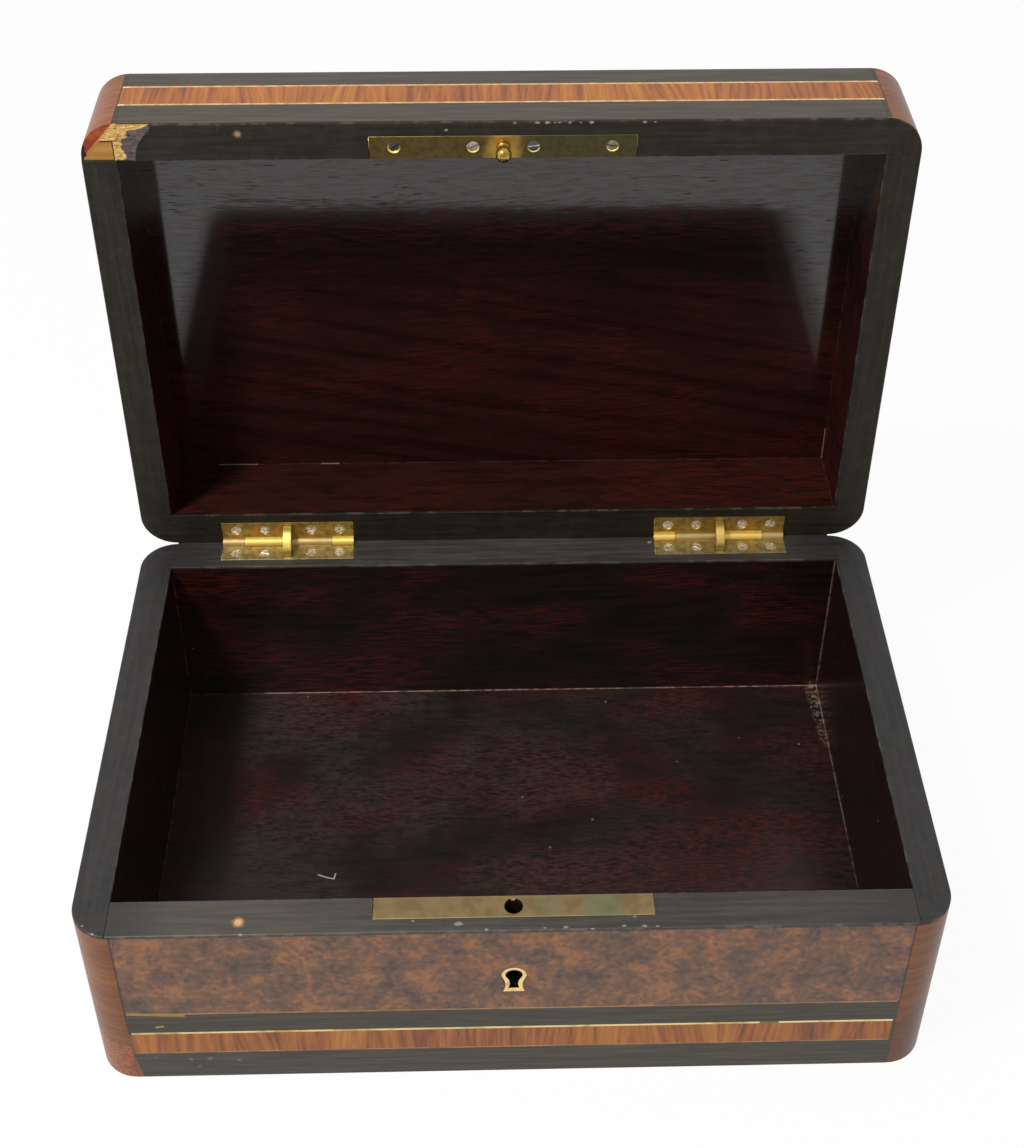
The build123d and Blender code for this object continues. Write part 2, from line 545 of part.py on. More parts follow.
def build_case():
    """Every piece that stays with the case, by name."""
    place = hinge_places()
    wall_z = (0, CASE_WALL_TOP)
    hinge_cuts = [place(hinge_room(), side) for side in SIDES]
    pin = bar_along_x(PIN_RADIUS, both_sides(HINGE_LENGTH / 2), 0, 0)
    pilots = [spot * pilot(SHORT_SCREW, LOCK_BACKPLATE) for spot in lock_screw_places()]
    top_bed = block(both_sides(PLATE_LENGTH / 2), (LOCK_FACE, INNER_FRONT), (PLATE_UNDERSIDE, CASE_RIM_TOP))
    lock_bed = block(both_sides(LOCK_WIDTH / 2), (LOCK_FACE, INNER_FRONT), (LOCK_BOTTOM, CASE_RIM_TOP))
    back_z = (LOCK_BACKPLATE_BOTTOM, PLATE_UNDERSIDE)
    back_bed = block(both_sides(LOCK_BACKPLATE_WIDTH / 2), (LOCK_REAR, INNER_FRONT), back_z)
    escutcheon_bed = keyhole((-HALF_DEPTH - OVERCUT, -HALF_DEPTH + ESCUTCHEON_DEPTH), **ESCUTCHEON)
    key_way = keyhole((-HALF_DEPTH - OVERCUT, LOCK_FACE + OVERCUT), **KEY_OPENING)
    lock_cuts = [top_bed, lock_bed, back_bed, escutcheon_bed, key_way] + pilots

    front, back, left, right = carcass_walls(wall_z)
    board = carcass_hollow((0, BOTTOM_BOARD), BOARD_REBATE)
    floor_z = (BOTTOM_BOARD, BOTTOM_BOARD + LINING)
    lining_z = (BOTTOM_BOARD + LINING, CASE_WALL_TOP)
    lining_front, lining_back, lining_left, lining_right = linings(lining_z)

    low, middle, high = (line_span(line) for line in CASE_LINES)
    burr, ebony, crossband, brass = [], [], [], []
    for face in SHOW_FACES:
        burr += veneer(face, (high[1], CASE_WALL_TOP))
        ebony += veneer(face, (middle[1], high[0]), END_FILLET) + veneer(face, (0, low[0]))
        ebony += veneer(face, (low[0], high[1]), end=END_FILLET)
        crossband += veneer(face, (low[1], middle[0]), END_FILLET)
        for span in (low, middle, high):
            brass += veneer(face, span, END_FILLET)
    burr[0] = burr[0] - escutcheon_bed

    rim_z = (CASE_WALL_TOP, CASE_RIM_TOP)
    rim = rim_plan(rim_z, -1)
    rim_left = rim & block((-HALF_WIDTH, -INNER_X), both_sides(HALF_DEPTH), rim_z)
    rim_right = rim & block((INNER_X, HALF_WIDTH), both_sides(HALF_DEPTH), rim_z)
    rim_front = (rim & block(both_sides(INNER_X), (-HALF_DEPTH, INNER_FRONT), rim_z)) - top_bed
    rim_back = (rim & block(both_sides(INNER_X), (INNER_BACK, HALF_DEPTH), rim_z)) - hinge_cuts

    escutcheon = keyhole((-HALF_DEPTH, -HALF_DEPTH + ESCUTCHEON_DEPTH), **ESCUTCHEON) - key_way
    lock_screws = [spot * screw_blank(SHORT_SCREW, LOCK_BACKPLATE) for spot in lock_screw_places()]
    plate = lock_plate() - lock_screws
    plate -= Pos(0, PLATE_Y, CASE_RIM_TOP - PLATE / 2) * Cylinder(STUD_HOLE_RADIUS, PLATE)
    return {
        "case_front_wall": front - board - lock_cuts,
        "case_back_wall": back - board - hinge_cuts,
        "case_left_wall": left - board,
        "case_right_wall": right - board,
        "case_bottom_board": board,
        "case_corner_blocks": group(corner_blocks(wall_z)),
        "case_burr_panels": group(burr),
        "case_ebony_bands": group(ebony),
        "case_crossbands": group(crossband),
        "case_brass_lines": group(brass),
        "case_back_veneer": veneer("back", wall_z)[0] - hinge_cuts,
        "case_floor_lining": carcass_hollow(floor_z),
        "case_front_lining": lining_front - top_bed - back_bed,
        "case_back_lining": lining_back - hinge_cuts,
        "case_side_linings": group([lining_left, lining_right]),
        "case_front_rim": rim_front,
        "case_back_rim": rim_back,
        "case_side_rims": group([rim_left, rim_right]),
        "left_hinge_case_leaf": place(leaf(True), "left"),
        "right_hinge_case_leaf": place(leaf(True), "right"),
        "hinge_pins": group([place(pin, side) for side in SIDES]),
        "case_hinge_screws": group([place(screw, side) for side in SIDES for screw in hinge_screws()]),
        "keyhole_escutcheon": escutcheon,
        "lock_plate": plate,
        "lock_housing": lock_housing(),
        "lock_pins": group(lock_pins()),
        "lock_spring": lock_spring(),
        "lock_screws": group(lock_screws),
    }


def build_lid():
    """Every piece that turns with the lid, by name, drawn shut."""
    place = hinge_places()
    wall_z = (LID_WALL_FOOT, LID_WALL_TOP)
    flipped = mirror(hinge_room(), Plane.XY)
    hinge_cuts = [place(flipped, side) for side in SIDES]
    catch_z = (LID_RIM_FACE, LID_RIM_FACE + PLATE)
    catch_bed = block(both_sides(PLATE_LENGTH / 2), (LOCK_FACE, INNER_FRONT), catch_z)
    pilots = [spot * pilot(LONG_SCREW) for spot in catch_screw_places()]

    front, back, left, right = carcass_walls(wall_z)
    board = carcass_hollow((LID_CEILING, LID_WALL_TOP), BOARD_REBATE)
    ceiling_z = (LID_CEILING - LINING, LID_CEILING)
    lining_z = (LID_WALL_FOOT, LID_CEILING - LINING)
    lining_front, lining_back, lining_left, lining_right = linings(lining_z)

    low, high = (line_span(line, CASE_HEIGHT) for line in LID_LINES)
    ebony, crossband, brass = [], [], []
    for face in SHOW_FACES:
        ebony += veneer(face, (LID_WALL_FOOT, low[0])) + veneer(face, (high[1], LID_WALL_TOP))
        ebony += veneer(face, (low[0], high[1]), end=END_FILLET)
        crossband += veneer(face, (low[1], high[0]), END_FILLET)
        brass += veneer(face, low, END_FILLET) + veneer(face, high, END_FILLET)

    top_z = (LID_WALL_TOP, LID_TOP)
    band_outside = TOP_BORDER + BRASS_LINE
    band_inside = band_outside + TOP_CROSSBAND
    panel = band_inside + BRASS_LINE
    border = fillet(edges_round(outline(top_z), -1), TOP_EDGE)
    border -= block(both_sides(HALF_WIDTH - TOP_BORDER), both_sides(HALF_DEPTH - TOP_BORDER), top_z)
    brass += [frame_ring(TOP_BORDER, band_outside, top_z), frame_ring(band_inside, panel, top_z)]
    top_burr = block(both_sides(HALF_WIDTH - panel), both_sides(HALF_DEPTH - panel), top_z)

    rim_z = (LID_RIM_FACE, LID_WALL_FOOT)
    rim = rim_plan(rim_z, 0)
    rim_front = rim & block(both_sides(HALF_WIDTH), (-HALF_DEPTH, INNER_FRONT), rim_z)
    rim_back = rim & block(both_sides(HALF_WIDTH), (INNER_BACK, HALF_DEPTH), rim_z)
    side_y = (INNER_FRONT, INNER_BACK)
    rim_left = rim & block((-HALF_WIDTH, -INNER_X), side_y, rim_z)
    rim_right = rim & block((INNER_X, HALF_WIDTH), side_y, rim_z)
    beyond = -HALF_WIDTH - OVERCUT
    torn_outline = Polyline(*TORN_EDGE, (beyond, TORN_EDGE[-1][1]), (beyond, TORN_EDGE[0][1]), close=True)
    torn = make_face(torn_outline)
    torn_away = Pos(0, 0, rim_z[0]) * extrude(torn, RIM)

    pieces = {
        "lid_front_wall": front - board - catch_bed - pilots,
        "lid_back_wall": back - board - hinge_cuts,
        "lid_left_wall": left - board,
        "lid_right_wall": right - board,
        "lid_top_board": board,
        "lid_corner_blocks": group(corner_blocks(wall_z)),
        "lid_ebony_bands": group(ebony),
        "lid_crossbands": group(crossband),
        "lid_brass_lines": group(brass),
        "lid_back_veneer": veneer("back", wall_z)[0] - hinge_cuts,
        "lid_top_border": border,
        "lid_top_crossband": frame_ring(band_outside, band_inside, top_z),
        "lid_top_burr_panel": top_burr,
        "lid_ceiling_lining": carcass_hollow(ceiling_z),
        "lid_front_lining": lining_front - catch_bed,
        "lid_back_lining": lining_back - hinge_cuts,
        "lid_side_linings": group([lining_left, lining_right]),
        "lid_front_rim": rim_front - catch_bed - torn_away,
        "lid_back_rim": rim_back - hinge_cuts,
        "lid_side_rims": group([rim_left, rim_right]),
        "left_hinge_lid_leaf": place(leaf(False), "left"),
        "right_hinge_lid_leaf": place(leaf(False), "right"),
        "lid_hinge_screws": group(
            [place(mirror(screw, Plane.XY), side) for side in SIDES for screw in hinge_screws()]
        ),
        "catch_plate": catch_plate(),
        "catch_stud": stud(),
        "catch_screws": group(catch_screws()),
    }
    return {name: opened(shape) for name, shape in pieces.items()}


def build_stops_and_bolt():
    """The pieces that move by themselves: the two stop straps, drawn open, and the lock's bolt."""
    place = hinge_places()
    return {
        "left_stop_strap": place(stop_strap(), "left"),
        "right_stop_strap": place(stop_strap(), "right"),
        "lock_bolt": lock_bolt(),
    }


os.makedirs("parts", exist_ok=True)
for name, shape in (build_case() | build_lid() | build_stops_and_bolt()).items():
    export_step(shape, f"parts/{name}.step")
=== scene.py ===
# %% [markdown]
# # A glove box, finished in Blender
#
# The construction of the box arrives as a fixed frame: every board, veneer, hinge leaf and pin is there
# at its real size, as loose triangles. What is missing is what a polisher and a restorer see: the figure
# of the woods, the gloss of the polish, tarnish on the brass, and a hundred years of small knocks. Each
# step below adds one of these, and says why it is made in the way that it is.

import json
from math import pi, radians

import bmesh
import bpy
import numpy as np
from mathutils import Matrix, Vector

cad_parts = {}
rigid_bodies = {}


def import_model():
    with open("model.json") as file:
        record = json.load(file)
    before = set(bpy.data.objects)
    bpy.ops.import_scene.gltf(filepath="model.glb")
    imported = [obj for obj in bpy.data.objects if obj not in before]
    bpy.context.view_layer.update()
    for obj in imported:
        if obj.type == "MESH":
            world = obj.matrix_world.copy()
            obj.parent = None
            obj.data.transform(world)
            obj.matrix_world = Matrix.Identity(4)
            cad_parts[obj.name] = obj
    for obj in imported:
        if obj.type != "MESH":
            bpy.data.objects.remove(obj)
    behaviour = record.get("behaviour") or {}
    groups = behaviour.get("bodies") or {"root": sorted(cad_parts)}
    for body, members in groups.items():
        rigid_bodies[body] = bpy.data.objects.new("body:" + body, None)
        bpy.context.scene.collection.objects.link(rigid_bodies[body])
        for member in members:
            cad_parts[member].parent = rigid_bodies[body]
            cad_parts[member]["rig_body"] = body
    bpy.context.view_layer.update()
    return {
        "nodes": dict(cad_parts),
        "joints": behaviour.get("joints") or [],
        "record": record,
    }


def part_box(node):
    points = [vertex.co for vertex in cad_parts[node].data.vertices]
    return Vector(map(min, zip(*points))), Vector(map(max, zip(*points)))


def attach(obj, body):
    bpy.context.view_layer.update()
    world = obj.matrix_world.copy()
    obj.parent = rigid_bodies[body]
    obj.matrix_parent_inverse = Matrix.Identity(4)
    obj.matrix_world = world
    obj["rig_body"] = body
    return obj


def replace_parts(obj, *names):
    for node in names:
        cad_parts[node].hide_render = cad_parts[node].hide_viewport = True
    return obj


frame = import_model()
nodes = frame["nodes"]

# %% [markdown]
# ## Sizes
#
# A cabinet maker thinks in millimetres, so the patterns and the new pieces are worked out in them, and
# multiplied by MM where they meet Blender's metres. Every size is read from the construction, so the
# looks follow it if it changes. The lid stands open in the frame, turned about the hinge axis. It is
# easier to think of it shut, so one rule turns places on the shut lid to where they stand in the frame,
# and the materials use the same rule backwards.

# %% Sizes read from the construction
MM = 0.001
LOW, HIGH = 0, 1


def limit(name, side, axis):
    """Where a piece ends along an axis, in millimetres."""
    return getattr(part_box(name)[side], axis) / MM


def centre(name, axis):
    return (limit(name, LOW, axis) + limit(name, HIGH, axis)) / 2


HALF_WIDTH = limit("case_corner_blocks", HIGH, "x")
HALF_DEPTH = limit("case_corner_blocks", HIGH, "y")
INNER_X = limit("case_front_rim", HIGH, "x")
INNER_FRONT = limit("case_front_rim", HIGH, "y")
INNER_BACK = limit("case_back_rim", LOW, "y")
RIM_TOP = limit("case_front_rim", HIGH, "z")
FLOOR = limit("case_floor_lining", HIGH, "z")
CASE_BAND = centre("case_crossbands", "z")
PLATE_HALF_WIDTH = (limit("lock_plate", HIGH, "y") - limit("lock_plate", LOW, "y")) / 2
CORNER_RADIUS = 12.5
FLAT_X = HALF_WIDTH - CORNER_RADIUS
FLAT_Y = HALF_DEPTH - CORNER_RADIUS

HINGE = Vector(frame["joints"][0]["pos_m"]) / MM
LID_TURN = (0.0, HINGE.y + HINGE.z, HINGE.z - HINGE.y)
LID_FACE = 2 * HINGE.z - RIM_TOP
LID_TOP = limit("lid_top_board", HIGH, "y") + LID_TURN[2]
LID_BAND = centre("lid_crossbands", "y") + LID_TURN[2]
CEILING = limit("lid_ceiling_lining", LOW, "y") + LID_TURN[2]
TORN_FACE = limit("lid_front_wall", LOW, "y") + LID_TURN[2]
PLATE_Y = LID_TURN[1] - centre("catch_plate", "z")
SLOTS = {part["node"]: part["material_slot"] for part in frame["record"]["subparts"]}


def open_lid(points):
    """Turns places on the shut lid a quarter turn back about the hinge axis: depth becomes height."""
    x, y, z = np.moveaxis(np.asarray(points, float), -1, 0)
    return np.stack([x, z - LID_TURN[2], LID_TURN[1] - y], -1)


print("outside", 2 * HALF_WIDTH, "by", 2 * HALF_DEPTH, "mm, hinge axis at height", HINGE.z)
print("the catch plate lies along depth", PLATE_Y, "and the lock plate is", 2 * PLATE_HALF_WIDTH, "mm wide")

# %% [markdown]
# ## Shader sums as ordinary Python
#
# A wood finish is a long sum: a noise squeezed along the grain, bent a little, turned into a stain and
# darkened at the edges. Wired by hand that is a page of nodes. The class below wraps one output of a
# node, so that `1 - mask * 0.5` adds the Math nodes by itself. Every other node comes from the method
# `node`, which sets the node's own settings first and then fills or links its sockets. Colours are
# written as on a paint card, from 0 to 255, and turned into linear light where they meet a socket.


# %% A wire that Python can calculate with
def arithmetic(operation, backwards=False):
    """A method of a wire that adds one Math node; backwards puts the other value first."""

    def method(self, other):
        return self.math(operation, *((other, self) if backwards else (self, other)))

    return method


class Wire:
    """One output of a node; arithmetic on wires and numbers adds Math nodes to the same tree."""

    def __init__(self, tree, socket):
        self.tree = tree
        self.socket = socket

    def node(self, kind, settings=None, sockets=None, output=0):
        """Adds a node: its settings, then the value or link of each socket named or numbered."""
        made = self.tree.nodes.new("ShaderNode" + kind)
        for name, value in (settings or {}).items():
            if name == "stops":
                set_stops(made.color_ramp, value)
            else:
                setattr(made, name, value)
        for name, value in (sockets or {}).items():
            fill(self.tree, made.inputs[name], value)
        return Wire(self.tree, made.outputs[output])

    def math(self, operation, *values):
        return self.node("Math", {"operation": operation}, dict(enumerate(values)))

    def __abs__(self):
        return self.math("ABSOLUTE", self)

    __add__ = __radd__ = arithmetic("ADD")
    __mul__ = __rmul__ = arithmetic("MULTIPLY")
    __sub__ = arithmetic("SUBTRACT")
    __rsub__ = arithmetic("SUBTRACT", backwards=True)
    __truediv__ = arithmetic("DIVIDE")
    __pow__ = arithmetic("POWER")


def paint(red, green, blue):
    """A colour from a paint card, 0 to 255, as linear light, with no transparency."""
    card = np.array([red, green, blue]) / 255
    return (*np.where(card <= 0.04045, card / 12.92, ((card + 0.055) / 1.055) ** 2.4).tolist(), 1.0)


def fill(tree, socket, value):
    """Links a wire to a socket, or writes a number, a vector or the colour of a paint card on it."""
    if isinstance(value, Wire):
        tree.links.new(value.socket, socket)
    else:
        socket.default_value = paint(*value) if socket.type == "RGBA" else value


def set_stops(ramp, stops):
    """Lays out a colour ramp; each stop is a position and the three numbers of a paint card."""
    while len(ramp.elements) < len(stops):
        ramp.elements.new(1.0)
    for element, (position, *card) in zip(ramp.elements, stops):
        element.position = position
        element.color = paint(*card)


# %% [markdown]
# The patterns need a handful of words. `cloud` is soft noise, `cells` the distance to scattered points,
# `fade` a smooth step up between two values and `drop` the same step down, `stain` lays one colour over
# another, and `stretched` squeezes a pattern so that it runs in fibres.


# %% Words for patterns
def cloud(place, scale, detail=3.0, roughness=0.5):
    """Soft noise around one half; scale is in repeats per millimetre."""
    sockets = {"Vector": place, "Scale": scale, "Detail": detail, "Roughness": roughness}
    return place.node("TexNoise", {}, sockets)


def cells(place, scale):
    """Distance to the nearest of many scattered points, 0 on a point."""
    return place.node("TexVoronoi", {}, {"Vector": place, "Scale": scale})


def fade(value, low, high):
    """A smooth step: 0 where the value is low, 1 where it is high."""
    return value.node("MapRange", {"interpolation_type": "SMOOTHSTEP"}, {0: value, 1: low, 2: high})


def drop(value, low, high):
    """A smooth step down: 1 where the value is low, 0 where it is high."""
    return 1 - fade(value, low, high)


def stain(amount, under, over):
    """One colour laid over another."""
    return amount.node("Mix", {"data_type": "RGBA"}, {0: amount, 6: under, 7: over}, output=2)


def stained(colour, *coats):
    """A colour with others laid over it in turn, each given as (amount, colour)."""
    for amount, over in coats:
        colour = stain(amount, colour, over)
    return colour


def ramp(value, *stops, tint=(1, 1, 1)):
    """A colour that follows a value through several stops; tint scales the three numbers of each card."""
    tinted = [(position, *(v * t for v, t in zip(card, tint))) for position, *card in stops]
    return value.node("ValToRGB", {"stops": tinted}, {0: value})


def stretched(place, factors):
    """Multiplies the three coordinates; a small factor draws the pattern out along that axis."""
    return place.node("VectorMath", {"operation": "MULTIPLY"}, {0: place, 1: factors})


def moved(place, by):
    """Adds a fixed or varying step to a place."""
    return place.node("VectorMath", {"operation": "ADD"}, {0: place, 1: by})


def swirled(place, scale, reach):
    """Moves a place by up to about reach millimetres, so that straight grain bends."""
    drift = place.node("TexNoise", {}, {"Vector": place, "Scale": scale, "Detail": 2.0}, output="Color")
    step = moved(drift, (-0.5, -0.5, -0.5))
    return moved(place, step.node("VectorMath", {"operation": "SCALE"}, {0: step, 3: 2 * reach}))


def axes(place):
    """The three coordinates of a place, each as a wire."""
    outputs = place.node("SeparateXYZ", {}, {0: place}).socket.node.outputs
    return [Wire(place.tree, socket) for socket in outputs]


def joined(x, y, z):
    """A place made from three coordinates, the first of which is a wire."""
    return x.node("CombineXYZ", {}, {0: x, 1: y, 2: z})


def from_point(place, point):
    """Distance from a point, in millimetres."""
    return place.node("VectorMath", {"operation": "DISTANCE"}, {0: place, 1: point}, output=1)


def from_line(place, start, end):
    """Distance from the straight line between two points, in millimetres."""
    reach = Vector(end) - Vector(start)
    step = moved(place, -Vector(start))
    sockets = {0: step, 1: reach / reach.length_squared}
    share = step.node("VectorMath", {"operation": "DOT_PRODUCT"}, sockets, output=1)
    foot = share.node("VectorMath", {"operation": "SCALE"}, {0: reach, 3: smaller(larger(share, 0.0), 1.0)})
    return step.node("VectorMath", {"operation": "DISTANCE"}, {0: step, 1: foot}, output=1)


def larger(a, b):
    return a.math("MAXIMUM", a, b)


def smaller(a, b):
    return a.math("MINIMUM", a, b)


def mark(place, distance, reach, rough=0.5):
    """A ragged mark: 1 nearer than about reach millimetres, 0 beyond it."""
    ragged = distance + (cloud(place, 1.6, 3.0) - 0.5) * (3 * rough * reach)
    return drop(ragged, 0.7 * reach, 1.15 * reach)


def streak(place, line, reach, rough=0.5):
    """A ragged mark along a straight line."""
    return mark(place, from_line(place, *line), reach, rough)


def specks(place, spots):
    """Many small marks as one mask; spots are (point, radius) pairs."""
    gap = None
    for point, radius in spots:
        distance = from_point(place, point) / radius
        gap = distance if gap is None else smaller(gap, distance)
    return drop(gap + (cloud(place, 1.6, 3.0) - 0.5) * 1.6, 0.7, 1.15)


def surface(colour, roughness, relief=None, **more):
    """The wires of a finish; relief is the height of its figure in millimetres."""
    wires = {"Base Color": colour, "Roughness": roughness, **more}
    return wires if relief is None else {**wires, "Relief": relief}


def finish(name, recipe, settings, fixed, lid):
    """A material: recipe turns a place in millimetres into the wires of a Principled shader."""
    material = bpy.data.materials.new(name)
    material.use_nodes = True
    tree = material.node_tree
    shader = tree.nodes["Principled BSDF"]
    place = Wire(tree, tree.nodes.new("ShaderNodeTexCoord").outputs["Object"])
    if lid:
        shift = tuple(step * MM for step in LID_TURN)
        place = place.node("Mapping", {}, {"Vector": place, "Location": shift, "Rotation": (pi / 2, 0, 0)})
    place = place.node("VectorMath", {"operation": "SCALE"}, {0: place, 3: 1 / MM})
    wires = recipe(place, **settings)
    if "Relief" in wires:
        sockets = {"Strength": 1.0, "Distance": MM, "Height": wires.pop("Relief")}
        wires["Normal"] = place.node("Bump", {}, sockets)
    for socket, value in {**fixed, **wires}.items():
        fill(tree, shader.inputs[socket], value)
    return material


print("paint(128, 128, 128) is", paint(128, 128, 128)[0], "in linear light")

# %% [markdown]
# ## Where an edge is
#
# Polish wears off where hands and cloths catch it, so the recipes must know how far a place is from an
# edge. The outside of the box is a rectangle with rounded corners, and the inside a plain room, so the
# distances are short formulas and need no painted map. On a wall of a room, one of the three distances
# to its walls is nothing, and the next one up is the distance to the nearest joint: their median.


# %% Distances from the edges
def from_outline(x, y):
    """How far a place lies inside the rounded outline of the box."""
    beyond_x = larger(abs(x) - FLAT_X, 0.0)
    beyond_y = larger(abs(y) - FLAT_Y, 0.0)
    corner = CORNER_RADIUS - (beyond_x**2 + beyond_y**2) ** 0.5
    return smaller(corner, smaller(HALF_WIDTH - abs(x), HALF_DEPTH - abs(y)))


def from_opening(x, y):
    """How far a place on a rim lies outside the rectangle of the opening."""
    return larger(abs(x) - INNER_X, larger(y - INNER_BACK, INNER_FRONT - y))


def from_joint(x, y, height):
    """How far a place on a lining lies from the nearest joint; height is measured off the floor."""
    wide = INNER_X - abs(x)
    deep = smaller(INNER_BACK - y, y - INNER_FRONT)
    return larger(smaller(wide, deep), smaller(larger(wide, deep), height))


def grain_axes(x, y):
    """Along and across the strip that a place is on: strips meet in a mitre at each corner."""
    on_side = x.math("GREATER_THAN", abs(x) - HALF_WIDTH, abs(y) - HALF_DEPTH)
    along = x + (y - x) * on_side
    across = y + (x - y) * on_side
    return along, across, on_side


# %% [markdown]
# ## The woods
#
# Burr is the show wood: a knobbly growth sliced thin, with small dark eyes in clusters and clouds of
# lighter colour. Scattered points make the eyes, and one noise decides where they crowd together. Each
# sheet ends in a dark line, where a hundred years of wax has filled the joint.


# %% Burr
GOLD_STREAK = ((-121.3, -HALF_DEPTH, 34.8), (-104.2, -HALF_DEPTH, 33.6))


def gilded(place, colour):
    """Lays the smear of old gold paint over the left end of the bands."""
    return stain(streak(place, GOLD_STREAK, 0.7, 0.35) * 0.85, colour, (168, 128, 48))


def burr(place):
    x, y, z = axes(place)
    bent = swirled(place, 0.11, 2.6)
    clouds = cloud(bent, 0.13, 3.0, 0.5)
    mottle = cloud(bent, 0.45, 2.5, 0.5)
    crowd = fade(cloud(place, 0.09, 3.0), 0.44, 0.60)
    eye = drop(cells(bent, 0.38), 0.10, 0.42) * crowd
    dots = drop(cells(bent, 0.9), 0.10, 0.30) * fade(cloud(place, 0.16, 3.0), 0.50, 0.62)
    along, _, side = grain_axes(x, y)
    past_end = abs(along) - (FLAT_X + (FLAT_Y - FLAT_X) * side)
    wax = fade(past_end, -0.75, -0.35) * drop(z, LID_TOP - 1, LID_TOP - 0.5)
    wood = ramp(
        clouds * 0.55 + mottle * 0.45,
        (0.34, 74, 58, 50), (0.45, 106, 76, 60), (0.52, 122, 84, 60), (0.60, 150, 98, 62),
        (0.72, 166, 112, 72),
    )
    colour = stained(
        wood, (eye * 0.62, (64, 54, 50)), (dots * 0.4, (70, 54, 48)), (wax * 0.75, (40, 32, 28))
    )
    return surface(gilded(place, colour), 0.24 + eye * 0.12, mottle * 0.02 - eye * 0.02)


# %% [markdown]
# Kingwood crossbanding is cut so that its grain runs across the band, and shows as upright stripes,
# rust and dark brown. The stripes follow the length of the band, and lean here and there because the
# strips were cut by hand.


# %% Kingwood
def crossband(place, light, middle):
    """Upright stripes; light scales how light the wood is, and middle is the height of the band's middle."""
    x, y, z = axes(place)
    along, across, side = grain_axes(x, y)
    lean = (cloud(joined(along, side * 50, 0.0), 0.03, 1.0) - 0.5) * 1.2
    upright = joined(along + (z - middle) * lean, (across + z) * 0.05, side * 50)
    stripes = cloud(upright, 0.42, 6.0, 0.66)
    broad = cloud(joined(along, side * 50, 7.0), 0.05, 2.0)
    colour = ramp(
        stripes + (broad - 0.5) * 0.35,
        (0.28, 84, 42, 18), (0.40, 138, 72, 24), (0.50, 172, 97, 30), (0.60, 190, 114, 34),
        (0.74, 202, 134, 48), tint=(light, light, light),
    )
    return surface(colour, 0.26 + stripes * 0.1, stripes * 0.02)


# %% [markdown]
# The corners are solid blocks of the same wood, shaped round, with their grain lying level. Two of them
# have been mended at the foot: on the left a piece with a livelier, redder figure, on the right a darker
# one. The lid's blocks end at the torn corner in bare orange wood, and the veneers of the lid's front
# reach a little way round them.


# %% Corner blocks
LEFT_MEND = (-123.4, 18.2)  # the top of the mend where it meets the front, and its height there
RIGHT_MEND = (124.5, 24.0)
BLOCK_LEFT, VENEER_BACK = -124.1, -87.7  # where the torn block's slanting back meets the front veneer
BLOCK_BACK = ((BLOCK_LEFT, VENEER_BACK, TORN_FACE), (-134.3, -76.2, TORN_FACE))
BLOCK_HOLE = ((-134.6, -80.0, TORN_FACE), (-134.0, -76.0, TORN_FACE))
VENEER_REACH = 1.5  # how far the front's veneers reach round the lid's blocks
BAND_HALF = 5.5  # half the height of the lid's crossband, and the brass lines just outside it
LINE_OFF = 6.0


def corner_wood(place, red, mended=False):
    """Solid kingwood; red warms it for the lid, which has seen less sun."""
    _, y, z = axes(place)
    fibres = stretched(swirled(place, 0.04, 0.8), (0.06, 0.06, 1.0))
    figure = cloud(fibres, 0.75, 6.0, 0.62)
    broad = cloud(place, 0.05, 2.0)
    colour = ramp(
        figure + (broad - 0.5) * 0.3,
        (0.30, 108, 62, 36), (0.45, 124, 73, 41), (0.58, 138, 84, 48), (0.74, 149, 97, 57),
        tint=(red, 1, 1),
    )
    if mended:
        colour = mends(place, colour)
    else:
        torn = drop(abs(z - TORN_FACE), 0.02, 0.06) * drop(y, -76.0, -75.0)
        colour = stain(torn, overlapped(place, colour), torn_end(place))
    return surface(colour, 0.30 + figure * 0.1, figure * 0.02)


def torn_end(place):
    """The bared end of the torn block, the side board behind it, and the dark hole at the outside."""
    x, y, _ = axes(place)
    wood = stain(fade(cloud(place, 0.35, 4.0), 0.4, 0.6), (168, 80, 34), (136, 58, 28))
    board = stain(fade(y, -82.5, -82.1), (222, 178, 104), (182, 132, 62))
    behind = (x - BLOCK_LEFT) * 0.75 + (y - VENEER_BACK) * 0.66
    return stained(
        wood, (fade(behind, -0.1, 0.1), board), (streak(place, BLOCK_BACK, 0.36), (188, 120, 68)),
        (streak(place, BLOCK_HOLE, 1.3), (34, 24, 18)),
    )


def mends(place, colour):
    """The two mended feet of the case, each under a slanting seam."""
    x, y, z = axes(place)
    front = drop(y, -60.0, -58.0)
    on_left = front * drop(x, -60.0, -58.0)
    on_right = front * fade(x, 58.0, 60.0)
    left = LEFT_MEND[1] - larger(x - LEFT_MEND[0], 0.0) * 0.88 - z
    right = RIGHT_MEND[1] + (x - RIGHT_MEND[0]) * 0.83 - z
    lively = stain(fade(cloud(place, 0.9, 3.0), 0.42, 0.60), (163, 96, 58), (130, 72, 44))
    seam = smaller(abs(left) + (1 - on_left), abs(right) + (1 - on_right))
    return stained(
        colour, (fade(left, -0.15, 0.15) * on_left, lively),
        (fade(right, -0.15, 0.15) * on_right * 0.6, (96, 58, 42)),
        (drop(seam, 0.15, 0.4) * 0.6, (60, 36, 28)),
    )


